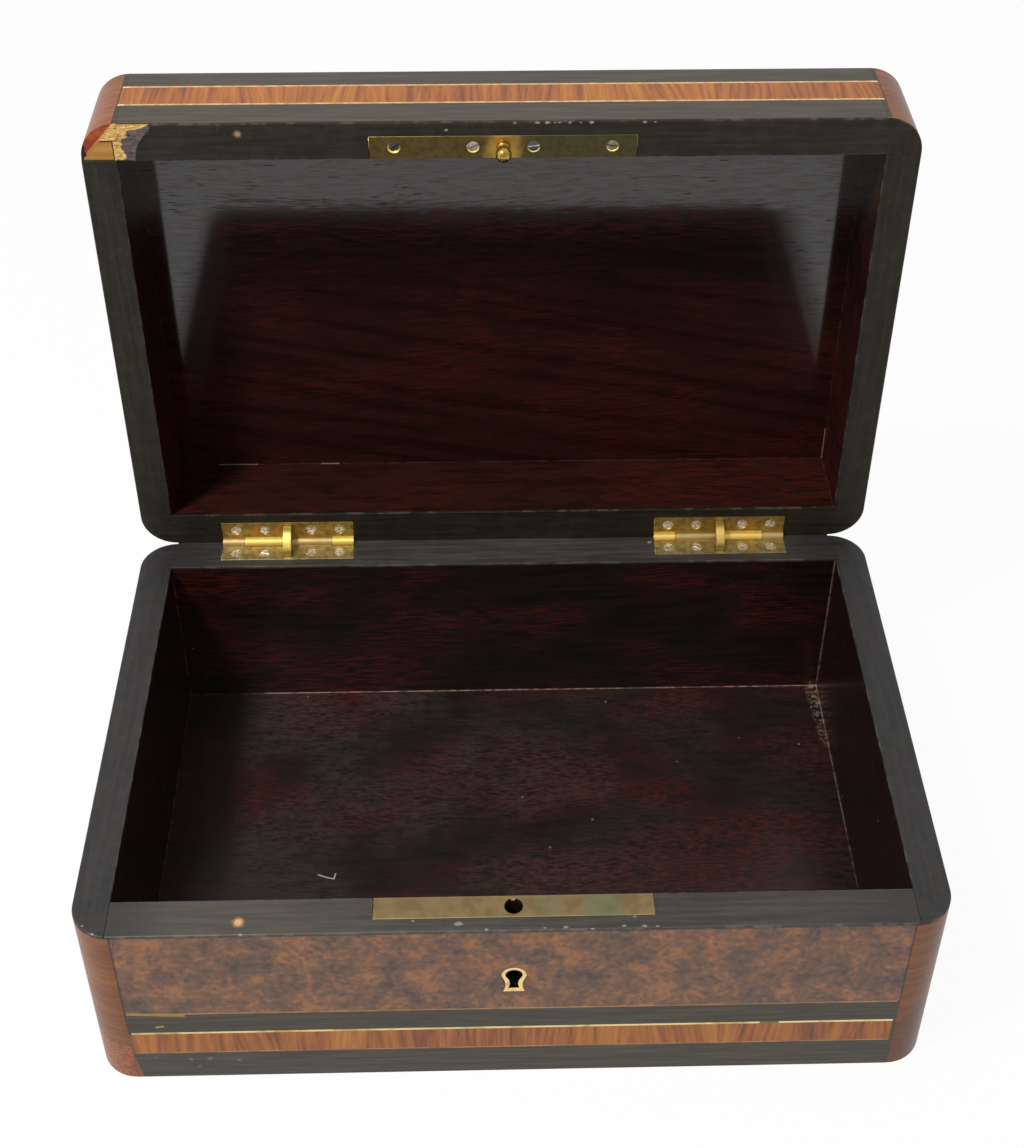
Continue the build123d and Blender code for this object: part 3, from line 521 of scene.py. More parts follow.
def overlapped(place, colour):
    """The ends of the veneers on the lid's front, which reach a little way round its corner blocks."""
    x, y, z = axes(place)
    reach = abs(x) - FLAT_X
    over = fade(reach, -1.3, -1.2) * drop(reach, VENEER_REACH, VENEER_REACH + 0.15) * drop(y, -80.0, -79.0)
    step = abs(z - LID_BAND)
    dyed = ebony_tone(place, (62, 52, 38))[0]
    on_band = drop(step, BAND_HALF, BAND_HALF + 0.1)
    ends = stained(
        dyed, (on_band, crossband(place, 0.95, LID_BAND)["Base Color"]),
        (drop(abs(step - LINE_OFF), 0.4, 0.5), (238, 206, 156)), (fade(reach, 1.05, 1.15), dyed),
    )
    return stain(over, colour, ends)


# %% [markdown]
# The lining is rosewood, nearly black under old polish, with red in its broad figure and fine open pores
# along the grain. The polish in the lid is like glass, a clear coat over the wood, so the pores matter
# more than the colour: they break the coat, and show as dark dashes in every reflection. Towards the
# hinge the coat has worn thin. On the floor of the case it has been rubbed dull and cloudy by what lay
# there; the grey laid into its colour is partly dust and partly a painted sheen, strongest on the left.
# The joints show pale where their edges are worn, most of all in the far right corner.


# %% Rosewood
FLOOR_FLECK = [
    ((-68.1, -13.7, FLOOR), (-64.9, -15.0, FLOOR)),
    ((-64.9, -15.0, FLOOR), (-62.4, -15.6, FLOOR)),
    ((-62.4, -15.6, FLOOR), (-61.9, -13.4, FLOOR)),
]
CEILING_CRACKS = [
    ((-INNER_X, -41.0, CEILING), (-84.0, -41.8, CEILING)),
    ((104.0, -37.4, CEILING), (INNER_X, -38.0, CEILING)),
]
CEILING_CHIPS = [
    ((-108.5, INNER_BACK, CEILING), (-94.5, INNER_BACK, CEILING)),
    ((-69.6, INNER_BACK, CEILING), (-63.0, INNER_BACK, CEILING)),
    ((INNER_X, 61.0, CEILING), (INNER_X, INNER_BACK, CEILING)),
]
PALE_WOOD = (158, 130, 112)
BLACK_GRIME = (8, 5, 5)


def nearest(place, lines):
    """Distance from the nearest of several straight lines."""
    gap = from_line(place, *lines[0])
    for line in lines[1:]:
        gap = smaller(gap, from_line(place, *line))
    return gap


def rosewood(place, along, gloss, red=0.4, grey=0.0, ceiling=False):
    """Fibres drawn out by the factors in along. In the case gloss is the roughness of the polish, and in
    the lid, where ceiling is True, its thickness. red is the strength of the warm figure, and grey how
    cloudy the polish has gone, which then lies over the wood as a thin coat of its own. grey also lays a
    grey into the colour that is partly dust and partly a painted sheen, strongest on the left."""
    x, y, z = axes(place)
    fibres = stretched(swirled(place, 0.012, 5.0), along)
    figure = cloud(fibres, 0.42, 6.0, 0.64)
    threads = cloud(fibres, 1.4, 3.0, 0.6)
    pores = drop(cells(fibres, 0.8), 0.11, 0.17) * fade(cloud(place, 0.05, 2.0), 0.40, 0.58)
    warm = fade(cloud(stretched(place, (0.5, 1.0, 1.0)), 0.035, 3.0), 0.42, 0.64) * red
    colour = ramp(figure, (0.34, 13, 9, 8), (0.48, 23, 14, 12), (0.60, 35, 19, 15), (0.74, 28, 16, 12))
    if ceiling:
        low = fade(y, -45.0, 45.0)
        warm = (warm * 0.7 + 0.3 * red) * (0.35 + low * 1.1)
        bands = cloud(joined(x * 0.04, y - x * 0.2, z), 0.2, 3.0)
        colour = stained(colour, (low * 0.75, (45, 23, 18)), (fade(bands, 0.46, 0.62) * 0.6, (17, 9, 8)))
    # Grey laid into the floor's colour: partly dust, partly a painted sheen, with less of it towards the
    # right.
    dust_and_sheen = (fade(threads, 0.42, 0.56) * 0.8 + fade(figure, 0.44, 0.58) * 0.45) * grey
    dust_and_sheen = fade(cloud(place, 0.03, 4.0), 0.34, 0.60) * dust_and_sheen * (1 - fade(x, -20.0, 90.0) * 0.55)
    reds = fade(threads, 0.42, 0.62) * warm
    colour = stained(colour, (reds, (80, 26, 19)), (dust_and_sheen, (62, 53, 51)), (pores * 0.7, (7, 5, 5)))
    joint = from_joint(x, y, CEILING - z if ceiling else z - FLOOR)
    patchy = fade(cloud(place, 0.35, 4.0), 0.36, 0.60)
    worn = drop(joint, 0.12, 0.42) * patchy * (0.08 if ceiling else 0.25)
    if ceiling:
        lightened = fade(threads, 0.36, 0.62) * drop(y, -48.0, -36.0)
        reddened = fade(y, -44.0, -38.0) * drop(y, -34.0, -18.0) * fade(threads, 0.44, 0.60)
        crack = mark(place, nearest(place, CEILING_CRACKS), 0.25, 0.4)
        colour = stained(
            colour, (lightened * 0.7, (58, 38, 22)), (reddened * 0.55, (78, 34, 32)), (crack * 0.9, BLACK_GRIME)
        )
        worn = smaller(worn + mark(place, nearest(place, CEILING_CHIPS), 0.35) * 0.6, 1.0)
        whole = 1 - larger(pores * 0.85, worn) - fade(threads, 0.40, 0.68) * 0.36
        coat = whole * thinned(x, y, threads, figure) * gloss
        return {"Base Color": stain(worn, colour, PALE_WOOD), "Coat Weight": coat, "Relief": figure * 0.03}
    fleck = mark(place, nearest(place, FLOOR_FLECK), 0.28, 0.4)
    worn = smaller(worn + scuffs(place, joint, patchy), 1.0)
    colour = stained(colour, (fleck, (165, 165, 155)), (worn, PALE_WOOD))
    wires = surface(colour, gloss + pores * 0.3 + worn * 0.4, threads * 0.06 - pores * 0.01)
    if grey:
        streaks = 1 - fade(threads, 0.38, 0.64) * 0.35
        wires["Coat Weight"] = streaks * (1 - fade(figure, 0.44, 0.66) * 0.3)
    return wires


def thinned(x, y, threads, figure):
    """How much of the lid's polish is left: less towards the hinge, and less behind a ragged line in the
    heart of the ceiling."""
    ragged = y - x * 0.016 + (threads - 0.5) * 16.0 + (figure - 0.5) * 8.0
    heart = fade(x + y * 0.34, -119.0, -108.0) * drop(x - y * 0.33, 108.0, 119.0)
    return (1 - fade(y, 8.0, 56.0) * 0.75) * (1 - fade(ragged, -43.0, -36.0) * heart * 0.62)


def scuffs(place, joint, patchy):
    """Wear in the case: the pale back joint, the rubbed right corner and some dust."""
    x, y, z = axes(place)
    near = drop(joint, 0.15, 0.5)
    back = fade(y, INNER_BACK - 3, INNER_BACK - 1) * drop(z, FLOOR + 0.5, FLOOR + 1.5)
    back = back * fade(x, -98.0, -92.0)
    right = fade(x, INNER_X - 3, INNER_X - 1) * fade(y, -30.0, 70.0)
    worn = near * (back * 0.75 + right * 0.5) * (patchy * 0.6 + 0.4)
    step = from_line(place, (INNER_X - 0.5, 46.0, FLOOR), (INNER_X - 2.5, INNER_BACK, FLOOR))
    crumbs = fade(cloud(place, 0.6, 5.0, 0.75), 0.48, 0.60)
    worn = worn + drop(step, 0.5, 3.4) * crumbs * (0.45 + fade(y, 50.0, 72.0) * 0.5)
    return worn + fade(cells(place, 0.07), 0.04, 0.026) * 0.5


# %% [markdown]
# Ebonised strips are pear or hornbeam dyed black. The dye goes only skin deep, so a rubbed edge shows
# brown. The rims get a wear mask from their outer and inner edges, broken up by noise, and the knocks
# that the box has had: flecks where the dye is gone, and two round plugs of paler wood.


# %% Ebonised strips
def ebony_tone(place, card, contrast=0.26):
    """Dyed wood with a faint grain round the colour in card."""
    x, y, z = axes(place)
    along, across, side = grain_axes(x, y)
    fibres = joined(along * 0.05, across, z + side * 50)
    grain = cloud(fibres, 0.8, 5.0, 0.6)
    shades = ((0.35, 1 - contrast), (0.50, 1), (0.65, 1 + contrast))
    return ramp(grain, *((position, *(share * v for v in card)) for position, share in shades)), grain


def ebony_band(place, card, spots=()):
    """A band on the outside; spots are places where the dye has chipped, as (point, radius)."""
    x, y, z = axes(place)
    colour, grain = ebony_tone(place, card)
    if spots:
        front = drop(y, 0.5 - HALF_DEPTH, 1.0 - HALF_DEPTH)
        strip = drop(x + FLAT_X, 0.9, 1.0) * fade(z, 13.0, 13.5) * drop(z, 23.5, 24.0)
        foot = drop(x + FLAT_X + z * 0.15, 2.1, 2.3)
        colour = stained(
            colour, (specks(place, spots) * 0.35, (150, 138, 100)),
            (streak(place, GOLD_CHIP, 0.5) * 0.9, (176, 146, 76)), (strip * front, (126, 76, 34)),
            (foot * front * drop(z, 12.8, 13.2), (128, 72, 44)),
        )
        colour = gilded(place, colour)
    else:
        colour = overlapped(place, colour)
    return surface(colour, 0.26 + grain * 0.12, grain * 0.02)


def rim(place, card, flecks, plug=None, lightened=0.0, edge_wear=0.45):
    """A meeting face, rubbed along its edges, with flecks as (point, radius) and a plug of paler wood;
    lightened is the strength of the painted sheen that lightens the front strip towards its left end."""
    x, y, _ = axes(place)
    colour, grain = ebony_tone(place, card, 0.24)
    patchy = fade(cloud(place, 0.22, 4.0), 0.46, 0.62)
    colour = stain(patchy * 0.03, colour, (120, 116, 108))
    if lightened:
        # Painted sheen: the front strip is lighter from its middle to its left end, and darker near both
        # mitres.
        left_sheen = drop(x, -125.0, 40.0) * drop(y, -74.0, -60.0)
        near_mitre = fade(abs(x), 96.0, FLAT_X)
        colour = stained(colour, (left_sheen * lightened, (150, 138, 120)), (near_mitre * 0.85, (34, 32, 31)))
    outer = drop(from_outline(x, y), 0.05, 0.6) * patchy * drop(y, 60.0, 78.0)
    inner = drop(from_opening(x, y), 0.1, 0.5) * patchy
    rubbed = fade(cloud(place, 1.1, 3.0), 0.66, 0.72) * fade(cloud(place, 0.05, 2.0), 0.5, 0.62)
    chipped = specks(stretched(place, (OVAL, 1.0, 1.0)), narrowed(flecks))
    colour = stained(
        colour, (outer * edge_wear, (118, 106, 92)), (inner * edge_wear, (110, 100, 90)),
        (rubbed * 0.3, (112, 104, 96)), (chipped * 0.85, (146, 144, 138)),
    )
    if plug:
        point, radius, centre_card, edge_card = plug
        distance = from_point(place, point)
        ring, heart = mark(place, distance, radius, 0.25), mark(place, distance, 0.62 * radius, 0.4)
        colour = stained(colour, (ring, edge_card), (heart, centre_card))
    return surface(colour, 0.42 + grain * 0.16, grain * 0.03)


def narrowed(flecks):
    """The flecks' places for a pattern drawn out along the front, which makes them long ovals."""
    return [((OVAL * x, y, z), 0.7 * radius) for (x, y, z), radius in flecks]


OVAL = 0.6
GOLD_CHIP = ((-113.2, -HALF_DEPTH, 27.6), (-111.2, -HALF_DEPTH, 27.9))
BAND_SPOTS = [
    ((x, -HALF_DEPTH, z), radius)
    for x, z, radius in (
        (-115.4, 10.6, 0.5), (-104.3, 9.6, 0.8), (-98.2, 9.7, 1.0), (-88.9, 8.5, 0.8), (-101.8, 5.5, 0.6),
    )
]
RIM_FLECKS = [
    ((x, y, RIM_TOP), radius)
    for x, y, radius in (
        (-16.8, -85.7, 1.1), (-8.3, -87.9, 0.6), (15.6, -87.5, 0.7), (9.2, -87.7, 0.4), (33.3, -87.5, 0.6),
        (39.4, -87.6, 0.7), (36.8, -84.1, 0.5), (43.4, -87.7, 0.5), (-30.7, -84.4, 0.4), (23.7, -88.4, 0.5),
        (-130.6, -84.1, 0.4), (-127.1, -87.1, 0.5), (-82.6, -88.3, 0.6), (54.8, 85.6, 0.8),
    )
]
SIDE_FLECKS = RIM_FLECKS[10:12]
LID_FLECKS = [
    ((x, y, LID_FACE), radius)
    for x, y, radius in (
        (3.6, -88.0, 0.4), (10.8, -88.0, 0.7), (13.9, -88.0, 0.75), (16.4, -88.0, 0.4), (17.8, -88.0, 0.4),
        (21.1, -88.0, 0.45), (24.5, -88.0, 0.3), (28.0, -88.0, 0.7), (44.9, -88.0, 0.6),
        (48.2, -88.0, 0.35), (-18.2, -85.7, 0.6),
    )
]

# %% [markdown]
# The carcass shows only where the lid lost a piece of its rim, and underneath. It is a pale softwood,
# with harder, darker lines of late growth. At the torn corner the end of the side board meets the front
# board, and dark dirt has run into the two joints.


# %% Softwood
KEYWAY = ((0.0, -HALF_DEPTH, 49.0), (0.0, -70.0, 49.0))


def softwood(place, pale, dark, joints=()):
    """Bare wood; joints are dirty lines as (start, end), and without them the wood round the keyway is
    darkened with painted shade.
    """
    fibres = stretched(swirled(place, 0.04, 2.0), (0.05, 1.0, 1.0))
    rings = cloud(fibres, 0.5, 5.0, 0.6)
    colour = stain(fade(rings, 0.4, 0.65), pale, dark)
    for joint in joints:
        colour = stain(streak(place, joint, 0.46, 0.25), colour, (44, 26, 12))
    if not joints:
        # Painted shade: the wood round the keyway, seen through the keyhole, is darkened nearly to black.
        colour = stain(drop(from_line(place, *KEYWAY), 7.0, 9.0), colour, (24, 19, 15))
    return surface(colour, 0.75, rings * 0.1)


def torn_wood(place, pale, dark, line, pit):
    """Splintered fibres that run along the front, with lines of a third colour and pits of a fourth."""
    fibres = stretched(place, (0.35, 1.0, 1.0))
    splinters = cloud(fibres, 1.3, 4.0, 0.65)
    pits = fade(cloud(place, 0.75, 3.0), 0.60, 0.70)
    lines = fade(cloud(fibres, 0.5, 3.0), 0.52, 0.68)
    wood = stain(fade(splinters, 0.38, 0.62), dark, pale)
    colour = stained(wood, (lines * 0.6, line), (pits * 0.6, pit))
    return surface(colour, 0.8, splinters * 0.25 - pits * 0.2)


# %% [markdown]
# ## The metals
#
# Brass that nobody polishes goes olive and brown, and stays bright only where it rubs: on the hinge
# barrels and the stop straps. The screws are steel, turned by hand a few times since.


# %% Brass and steel
LOST_LINE = ((79.4, -HALF_DEPTH, 24.2), (84.0, -HALF_DEPTH, 24.2))
CAKED_SLOT = ((8.2, PLATE_Y + 0.2, LID_FACE + 0.42), (11.2, PLATE_Y - 0.2, LID_FACE + 0.42))


def brushed_lines(place):
    """The fine lines that a maker's brush leaves along a plate."""
    return cloud(stretched(place, (0.03, 1.0, 1.0)), 3.0, 2.0)


def brass(place, clean, dull, dullness=0.5, smooth=0.30):
    """Tarnish in clouds over a brushed ground; dullness moves the balance."""
    film = fade(cloud(place, 0.35, 5.0, 0.6) + (dullness - 0.5), 0.36, 0.64)
    brushed = brushed_lines(place)
    colour = stained(clean, (film, dull), ((1 - brushed) * 0.3, dull))
    return surface(colour, smooth + film * 0.15, brushed * 0.008)


def lock_brass(place):
    """The lock's face plate: an even olive gold, rubbed along its edges, with a green bloom on the right."""
    x, y, _ = axes(place)
    tarnish = cloud(place, 0.22, 4.0, 0.55)
    edge = drop(PLATE_HALF_WIDTH - abs(y - PLATE_Y), 0.1, 0.5)
    bloom = drop(abs(x - 28.0) + (tarnish - 0.5) * 16, 3.5, 6.5)
    faint = drop(abs(x - 10.5) + (tarnish - 0.5) * 10, 2.0, 4.5)
    colour = stained(
        (152, 130, 91), (fade(tarnish, 0.36, 0.64), (134, 115, 82)), (edge * 0.5, (176, 154, 108)),
        (bloom * 0.55, (112, 132, 100)), (faint * 0.3, (120, 130, 100)),
    )
    return surface(colour, 0.36 + tarnish * 0.1, brushed_lines(place) * 0.006)


def catch_brass(place):
    """The catch plate: golden round the stud, reddish to the left and greenish to the right."""
    x, _, z = axes(place)
    tarnish = cloud(place, 0.2, 4.0, 0.55)
    greener = fade(x + (tarnish - 0.5) * 30, -6.0, 14.0)
    dirty = fade(cloud(place, 0.5, 5.0, 0.65), 0.44, 0.60)
    golden = drop(abs(x) + (tarnish - 0.5) * 8, 1.0, 7.5)
    sunk = fade(z, LID_FACE + 0.04, LID_FACE + 0.12)
    colour = stained(
        (94, 78, 46), (greener, (80, 74, 48)), (dirty * 0.5, (66, 54, 34)), (golden * 0.9, (190, 152, 72)),
        (sunk, (250, 226, 130)),
    )
    return surface(colour, 0.40 - sunk * 0.15 + tarnish * 0.1, tarnish * 0.02)


def leaf_brass(place, leaf, barrel, rusty):
    """A hinge leaf: dull where it lies flat, rusty round the screws, bright on the barrel."""
    _, y, z = axes(place)
    tarnish = cloud(place, 0.35, 5.0, 0.6)
    rust = fade(cloud(place, 0.20, 3.0), 0.50, 0.62)
    radius = ((y - HINGE.y) ** 2 + (z - HINGE.z) ** 2) ** 0.5
    colour = stained(
        leaf, (fade(tarnish, 0.38, 0.62), tuple(0.78 * v for v in leaf)), (rust * rusty, (190, 130, 56)),
        (drop(radius, 2.3, 3.0) * 0.85, barrel),
    )
    return surface(colour, 0.44 + tarnish * 0.12, tarnish * 0.02)


def strap_brass(place):
    """The stop straps: bright where they rub between the leaves, darker olive below in painted shade,
    and the right one dull.
    """
    x, _, z = axes(place)
    tarnish = cloud(place, 0.4, 4.0)
    # Painted shade: the strap darkens to olive towards its foot, where it sinks down to the case leaf.
    shaded_foot = drop(z, RIM_TOP + 0.2, RIM_TOP + 3.2)
    colour = stained(
        (224, 202, 106), (fade(x, -1.0, 1.0), (196, 168, 94)),
        (fade(tarnish, 0.4, 0.7) * 0.4, (200, 170, 90)), (shaded_foot * 0.8, (160, 136, 76)),
    )
    return surface(colour, 0.38 + tarnish * 0.1)


def line_brass(place):
    """Inlaid lines: the middle one on the case shines, and the two thin ones have gone to dull ochre."""
    _, _, z = axes(place)
    tarnish = cloud(place, 0.12, 4.0)
    shines = drop(abs(z - LOST_LINE[0][2]), 1.5, 2.5)
    bright = stain(fade(tarnish, 0.45, 0.62), (232, 212, 150), (196, 164, 104))
    dull = stain(fade(tarnish, 0.40, 0.60), (178, 128, 66), (140, 100, 70))
    lost = streak(place, LOST_LINE, 0.9, 0.2)
    colour = gilded(place, stained(dull, (shines, bright), (lost * 0.85, (92, 66, 48))))
    return surface(colour, 0.4 + tarnish * 0.1, Metallic=0.25 + shines * 0.75)


def frame_brass(place):
    """The escutcheon: bright on its round front, and dark inside the keyhole with grime and painted shade."""
    _, y, _ = axes(place)
    wires = brass(place, (246, 216, 152), (204, 164, 98), 0.4)
    # Grime and painted shade: the walls inside the keyhole are darkened.
    grime_and_shade = fade(y, 0.4 - HALF_DEPTH, 0.6 - HALF_DEPTH)
    return {**wires, "Base Color": stain(grime_and_shade, wires["Base Color"], (44, 38, 26))}


def steel(place):
    """Old screw steel, a little browned."""
    tarnish = cloud(place, 0.9, 4.0)
    return surface(stain(fade(tarnish, 0.4, 0.65), (240, 234, 228), (184, 168, 156)), 0.38 + tarnish * 0.16)


def catch_steel(place):
    """The catch plate's screws, each browned its own way, with pale polish caked in the third one's slot."""
    x, _, _ = axes(place)
    tarnish = cloud(place, 0.9, 4.0)
    each = ramp(
        x / 100 + 0.5,
        (0.25, 74, 78, 78), (0.35, 176, 160, 156), (0.45, 176, 160, 156), (0.55, 84, 90, 94),
        (0.70, 84, 90, 94), (0.80, 146, 136, 112),
    )
    caked = streak(place, CAKED_SLOT, 0.24, 0.2)
    colour = stained(each, (fade(tarnish, 0.45, 0.65) * 0.4, (70, 62, 54)), (caked, (240, 235, 225)))
    return surface(colour, 0.32 + tarnish * 0.16, Metallic=1 - caked)


# %% [markdown]
# ## One material for each finish
#
# A finish on the lid needs its own copy, because its pattern is drawn on the shut lid and carried round
# with it. Numbers that are the same all over a surface, such as metallic, sit on the shader's own socket.

# %% Make the materials
METAL = {"Metallic": 1.0}
WAXED = {"Specular IOR Level": 0.33}
THIN_WAX = {"Specular IOR Level": 0.22}
DRY_WAX = {"Specular IOR Level": 0.42}
GLASSY = {"Roughness": 0.4, "Specular IOR Level": 0.05, "Coat IOR": 1.7, "Coat Roughness": 0.08}
RUBBED = {"Specular IOR Level": 0.05, "Coat IOR": 1.62, "Coat Roughness": 0.31}
LONG, DEEP, BROAD = (0.08, 1.0, 1.0), (1.0, 0.08, 1.0), (0.22, 1.0, 1.0)
CASE_PLUG = ((-83.6, -83.8, RIM_TOP), 2.0, (212, 172, 122), (156, 108, 76))
LID_PLUG = ((-84.4, -84.9, LID_FACE), 1.5, (158, 132, 110), (104, 76, 60))
TORN_JOINTS = [
    ((-129.0, -82.3, TORN_FACE), (-121.2, -82.3, TORN_FACE)),
    ((-124.3, -82.3, TORN_FACE), (-124.15, -74.0, TORN_FACE)),
]
ON_CASE = {
    "burr": (burr, {}, WAXED),
    "crossband": (crossband, dict(light=0.94, middle=CASE_BAND), WAXED),
    "corner": (corner_wood, dict(red=1.0, mended=True), THIN_WAX),
    "lining_long": (rosewood, dict(along=LONG, gloss=0.20, red=0.95), {}),
    "lining_deep": (rosewood, dict(along=DEEP, gloss=0.20, red=0.1), THIN_WAX),
    "floor_lining": (rosewood, dict(along=BROAD, gloss=0.36, red=0.8, grey=0.5), RUBBED),
    "ebony": (ebony_band, dict(card=(59, 52, 37), spots=BAND_SPOTS), WAXED),
    "rim": (rim, dict(card=(54, 50, 45), flecks=RIM_FLECKS, plug=CASE_PLUG, lightened=0.1), {}),
    "side_rim": (rim, dict(card=(34, 32, 31), flecks=SIDE_FLECKS), DRY_WAX),
    "softwood": (softwood, dict(pale=(196, 156, 100), dark=(160, 116, 66)), {}),
    "bottom": (softwood, dict(pale=(120, 92, 66), dark=(84, 60, 42)), {}),
    "brass_line": (line_brass, {}, {}),
    "lock_brass": (lock_brass, {}, METAL),
    "lock_works": (brass, dict(clean=(34, 30, 22), dull=(24, 20, 16)), METAL),
    "case_leaf": (leaf_brass, dict(leaf=(192, 178, 124), barrel=(160, 134, 86), rusty=0.2), METAL),
    "strap_brass": (strap_brass, {}, METAL),
    "frame_brass": (frame_brass, {}, METAL),
    "steel": (steel, {}, METAL),
}
ON_LID = {
    "burr_lid": (burr, {}, WAXED),
    "crossband_lid": (crossband, dict(light=0.95, middle=LID_BAND), WAXED),
    "corner_lid": (corner_wood, dict(red=1.02), THIN_WAX),
    "lining_long_lid": (rosewood, dict(along=LONG, gloss=1.0, ceiling=True), GLASSY),
    "lining_deep_lid": (rosewood, dict(along=DEEP, gloss=0.4, ceiling=True), GLASSY),
    "ebony_lid": (ebony_band, dict(card=(62, 52, 38)), WAXED),
    "rim_lid": (rim, dict(card=(34, 29, 20), flecks=LID_FLECKS, plug=LID_PLUG, edge_wear=0.3), THIN_WAX),
    "softwood_lid": (softwood, dict(pale=(190, 138, 62), dark=(170, 116, 48), joints=TORN_JOINTS), {}),
    "torn_wood": (
        torn_wood,
        dict(pale=(232, 190, 116), dark=(196, 148, 78), line=(236, 204, 150), pit=(122, 91, 45)),
        {},
    ),
    "old_glue": (
        torn_wood,
        dict(pale=(92, 82, 78), dark=(66, 60, 58), line=(128, 98, 88), pit=(38, 34, 32)),
        {},
    ),
    "brass_line_lid": (brass, dict(clean=(238, 206, 156), dull=(204, 160, 108)), METAL),
    "catch_brass": (catch_brass, {}, METAL),
    "stud_brass": (brass, dict(clean=(214, 178, 92), dull=(138, 110, 52), dullness=0.45, smooth=0.2), METAL),
    "lid_leaf": (leaf_brass, dict(leaf=(172, 146, 80), barrel=(212, 182, 96), rusty=0.5), METAL),
    "catch_steel": (catch_steel, {}, {}),
}

finishes = {name: finish(name, *row, lid=False) for name, row in ON_CASE.items()}
finishes.update({name: finish(name, *row, lid=True) for name, row in ON_LID.items()})
print(len(finishes), "materials")

# %% [markdown]
# ## Give each piece its finish
#
# The slot in the record says what a piece is made of, and its name says where it is, so a short rule
# covers all of them.


# %% Dress the construction
BRASSES = {
    "lock_plate": "lock_brass",
    "lock": "lock_works",
    "catch_plate": "catch_brass",
    "catch_stud": "stud_brass",
    "case_leaf": "case_leaf",
    "lid_leaf": "lid_leaf",
    "strap": "strap_brass",
    "escutcheon": "frame_brass",
}
ANYWHERE = {"steel": "steel", "bottom_wood": "bottom"}
BY_PLACE = {
    "burr": "burr",
    "kingwood": "crossband",
    "corner_kingwood": "corner",
    "ebonised": "ebony",
    "brass_line": "brass_line",
    "carcass_wood": "softwood",
}


def finish_for(name):
    """The name of a piece's finish, from its material slot and its place."""
    slot = SLOTS[name]
    lid = "_lid" if name.startswith("lid_") else ""
    if slot == "brass":
        return next(finish_name for word, finish_name in BRASSES.items() if word in name)
    if name == "case_floor_lining":
        return "floor_lining"
    if slot == "rosewood":
        return ("lining_deep" if "side" in name else "lining_long") + lid
    if "rim" in name:
        return "rim_lid" if lid else "side_rim" if "side" in name else "rim"
    return ANYWHERE.get(slot) or BY_PLACE[slot] + lid


def put_finish(piece, material):
    """Gives a piece one material."""
    piece.data.materials.clear()
    piece.data.materials.append(material)


def placed(name, data):
    """A new thing in the scene, from its mesh, lamp or camera data."""
    thing = bpy.data.objects.new(name, data)
    bpy.context.scene.collection.objects.link(thing)
    return thing


for name, node in nodes.items():
    put_finish(node, finishes[finish_for(name)])
print("dressed", len(nodes), "pieces")

# %% [markdown]
# ## Eased edges
#
# Nothing on an old box has a knife edge, and an eased edge is what catches the light. The CAD pieces are
# loose triangles, so a copy is welded and its flat faces joined before a Bevel modifier eases the edges.
# Only the edges that carry a bevel weight are eased: small round holes stay crisp, and so do the back
# edges of the rims. Those are drawn onto the hinge axis itself, a few hundredths of a millimetre away,
# so that case and lid meet there at every angle and no light comes through the joint.


# %% Ease the edges of the pieces that show them
def weld(skin):
    """Joins loose triangles into one skin, and triangles in one plane into one face."""
    bmesh.ops.remove_doubles(skin, verts=skin.verts, dist=0.002 * MM)
    bmesh.ops.dissolve_limit(skin, angle_limit=radians(0.5), verts=skin.verts, edges=skin.edges)


def at_hinge_line(corner):
    """Whether a corner of a piece lies on the hinge axis."""
    return abs(corner.co.y / MM - HINGE.y) + abs(corner.co.z / MM - HINGE.z) < 0.1


def eased(name, width, shortest):
    """A copy of a CAD piece with its edges over a length bevelled, which rides and is replaced like it."""
    mesh = nodes[name].data.copy()
    skin = bmesh.new()
    skin.from_mesh(mesh)
    weld(skin)
    weight = skin.edges.layers.float.new("bevel_weight_edge")
    for edge in skin.edges:
        sharp = edge.is_manifold and edge.calc_face_angle() > radians(40)
        if sharp and edge.calc_length() > shortest * MM and not all(map(at_hinge_line, edge.verts)):
            edge[weight] = 1.0
    for corner in filter(at_hinge_line, skin.verts):
        corner.co.yz = HINGE.yz * MM
    skin.to_mesh(mesh)
    skin.free()
    mesh.shade_smooth()
    mesh.set_sharp_from_angle(angle=radians(30))
    piece = placed(name + "_eased", mesh)
    bevel = piece.modifiers.new("eased edge", "BEVEL")
    bevel.width = width * MM
    bevel.segments = 2
    bevel.limit_method = "WEIGHT"
    flat = piece.modifiers.new("flat faces stay flat", "WEIGHTED_NORMAL")
    flat.keep_sharp = True
    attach(piece, nodes[name]["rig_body"])
    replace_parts(piece, name)
    return piece


EASE = {
    "rim": (0.18, 0.0),
    "leaf": (0.15, 3.0),
    "strap": (0.25, 0.0),
    "lock_plate": (0.15, 3.0),
    "catch_plate": (0.15, 3.0),
    "corner_blocks": (0.1, 0.0),
}
for name in sorted(nodes):
    for word, (width, shortest) in EASE.items():
        if word in name:
            eased(name, width, shortest)
            print("eased", name, "by", width, "mm")

# %% [markdown]
# ## New pieces as surfaces
#
# The small fittings are modelled again, finer than the construction needs them. Each is one or more
# grids of places, worked out as whole arrays: neighbouring places make four-sided faces, and where two
# grids meet, or a ring closes, the doubled places are merged into one skin.


# %% From grids to a piece
def grid_faces(rows, columns, start):
    """Four-sided faces between neighbouring points of a grid whose points are numbered from start."""
    row, column = (step.ravel() for step in np.indices((rows - 1, columns - 1)))
    corner = start + row * columns + column
    return np.stack([corner, corner + 1, corner + columns + 1, corner + columns], -1)


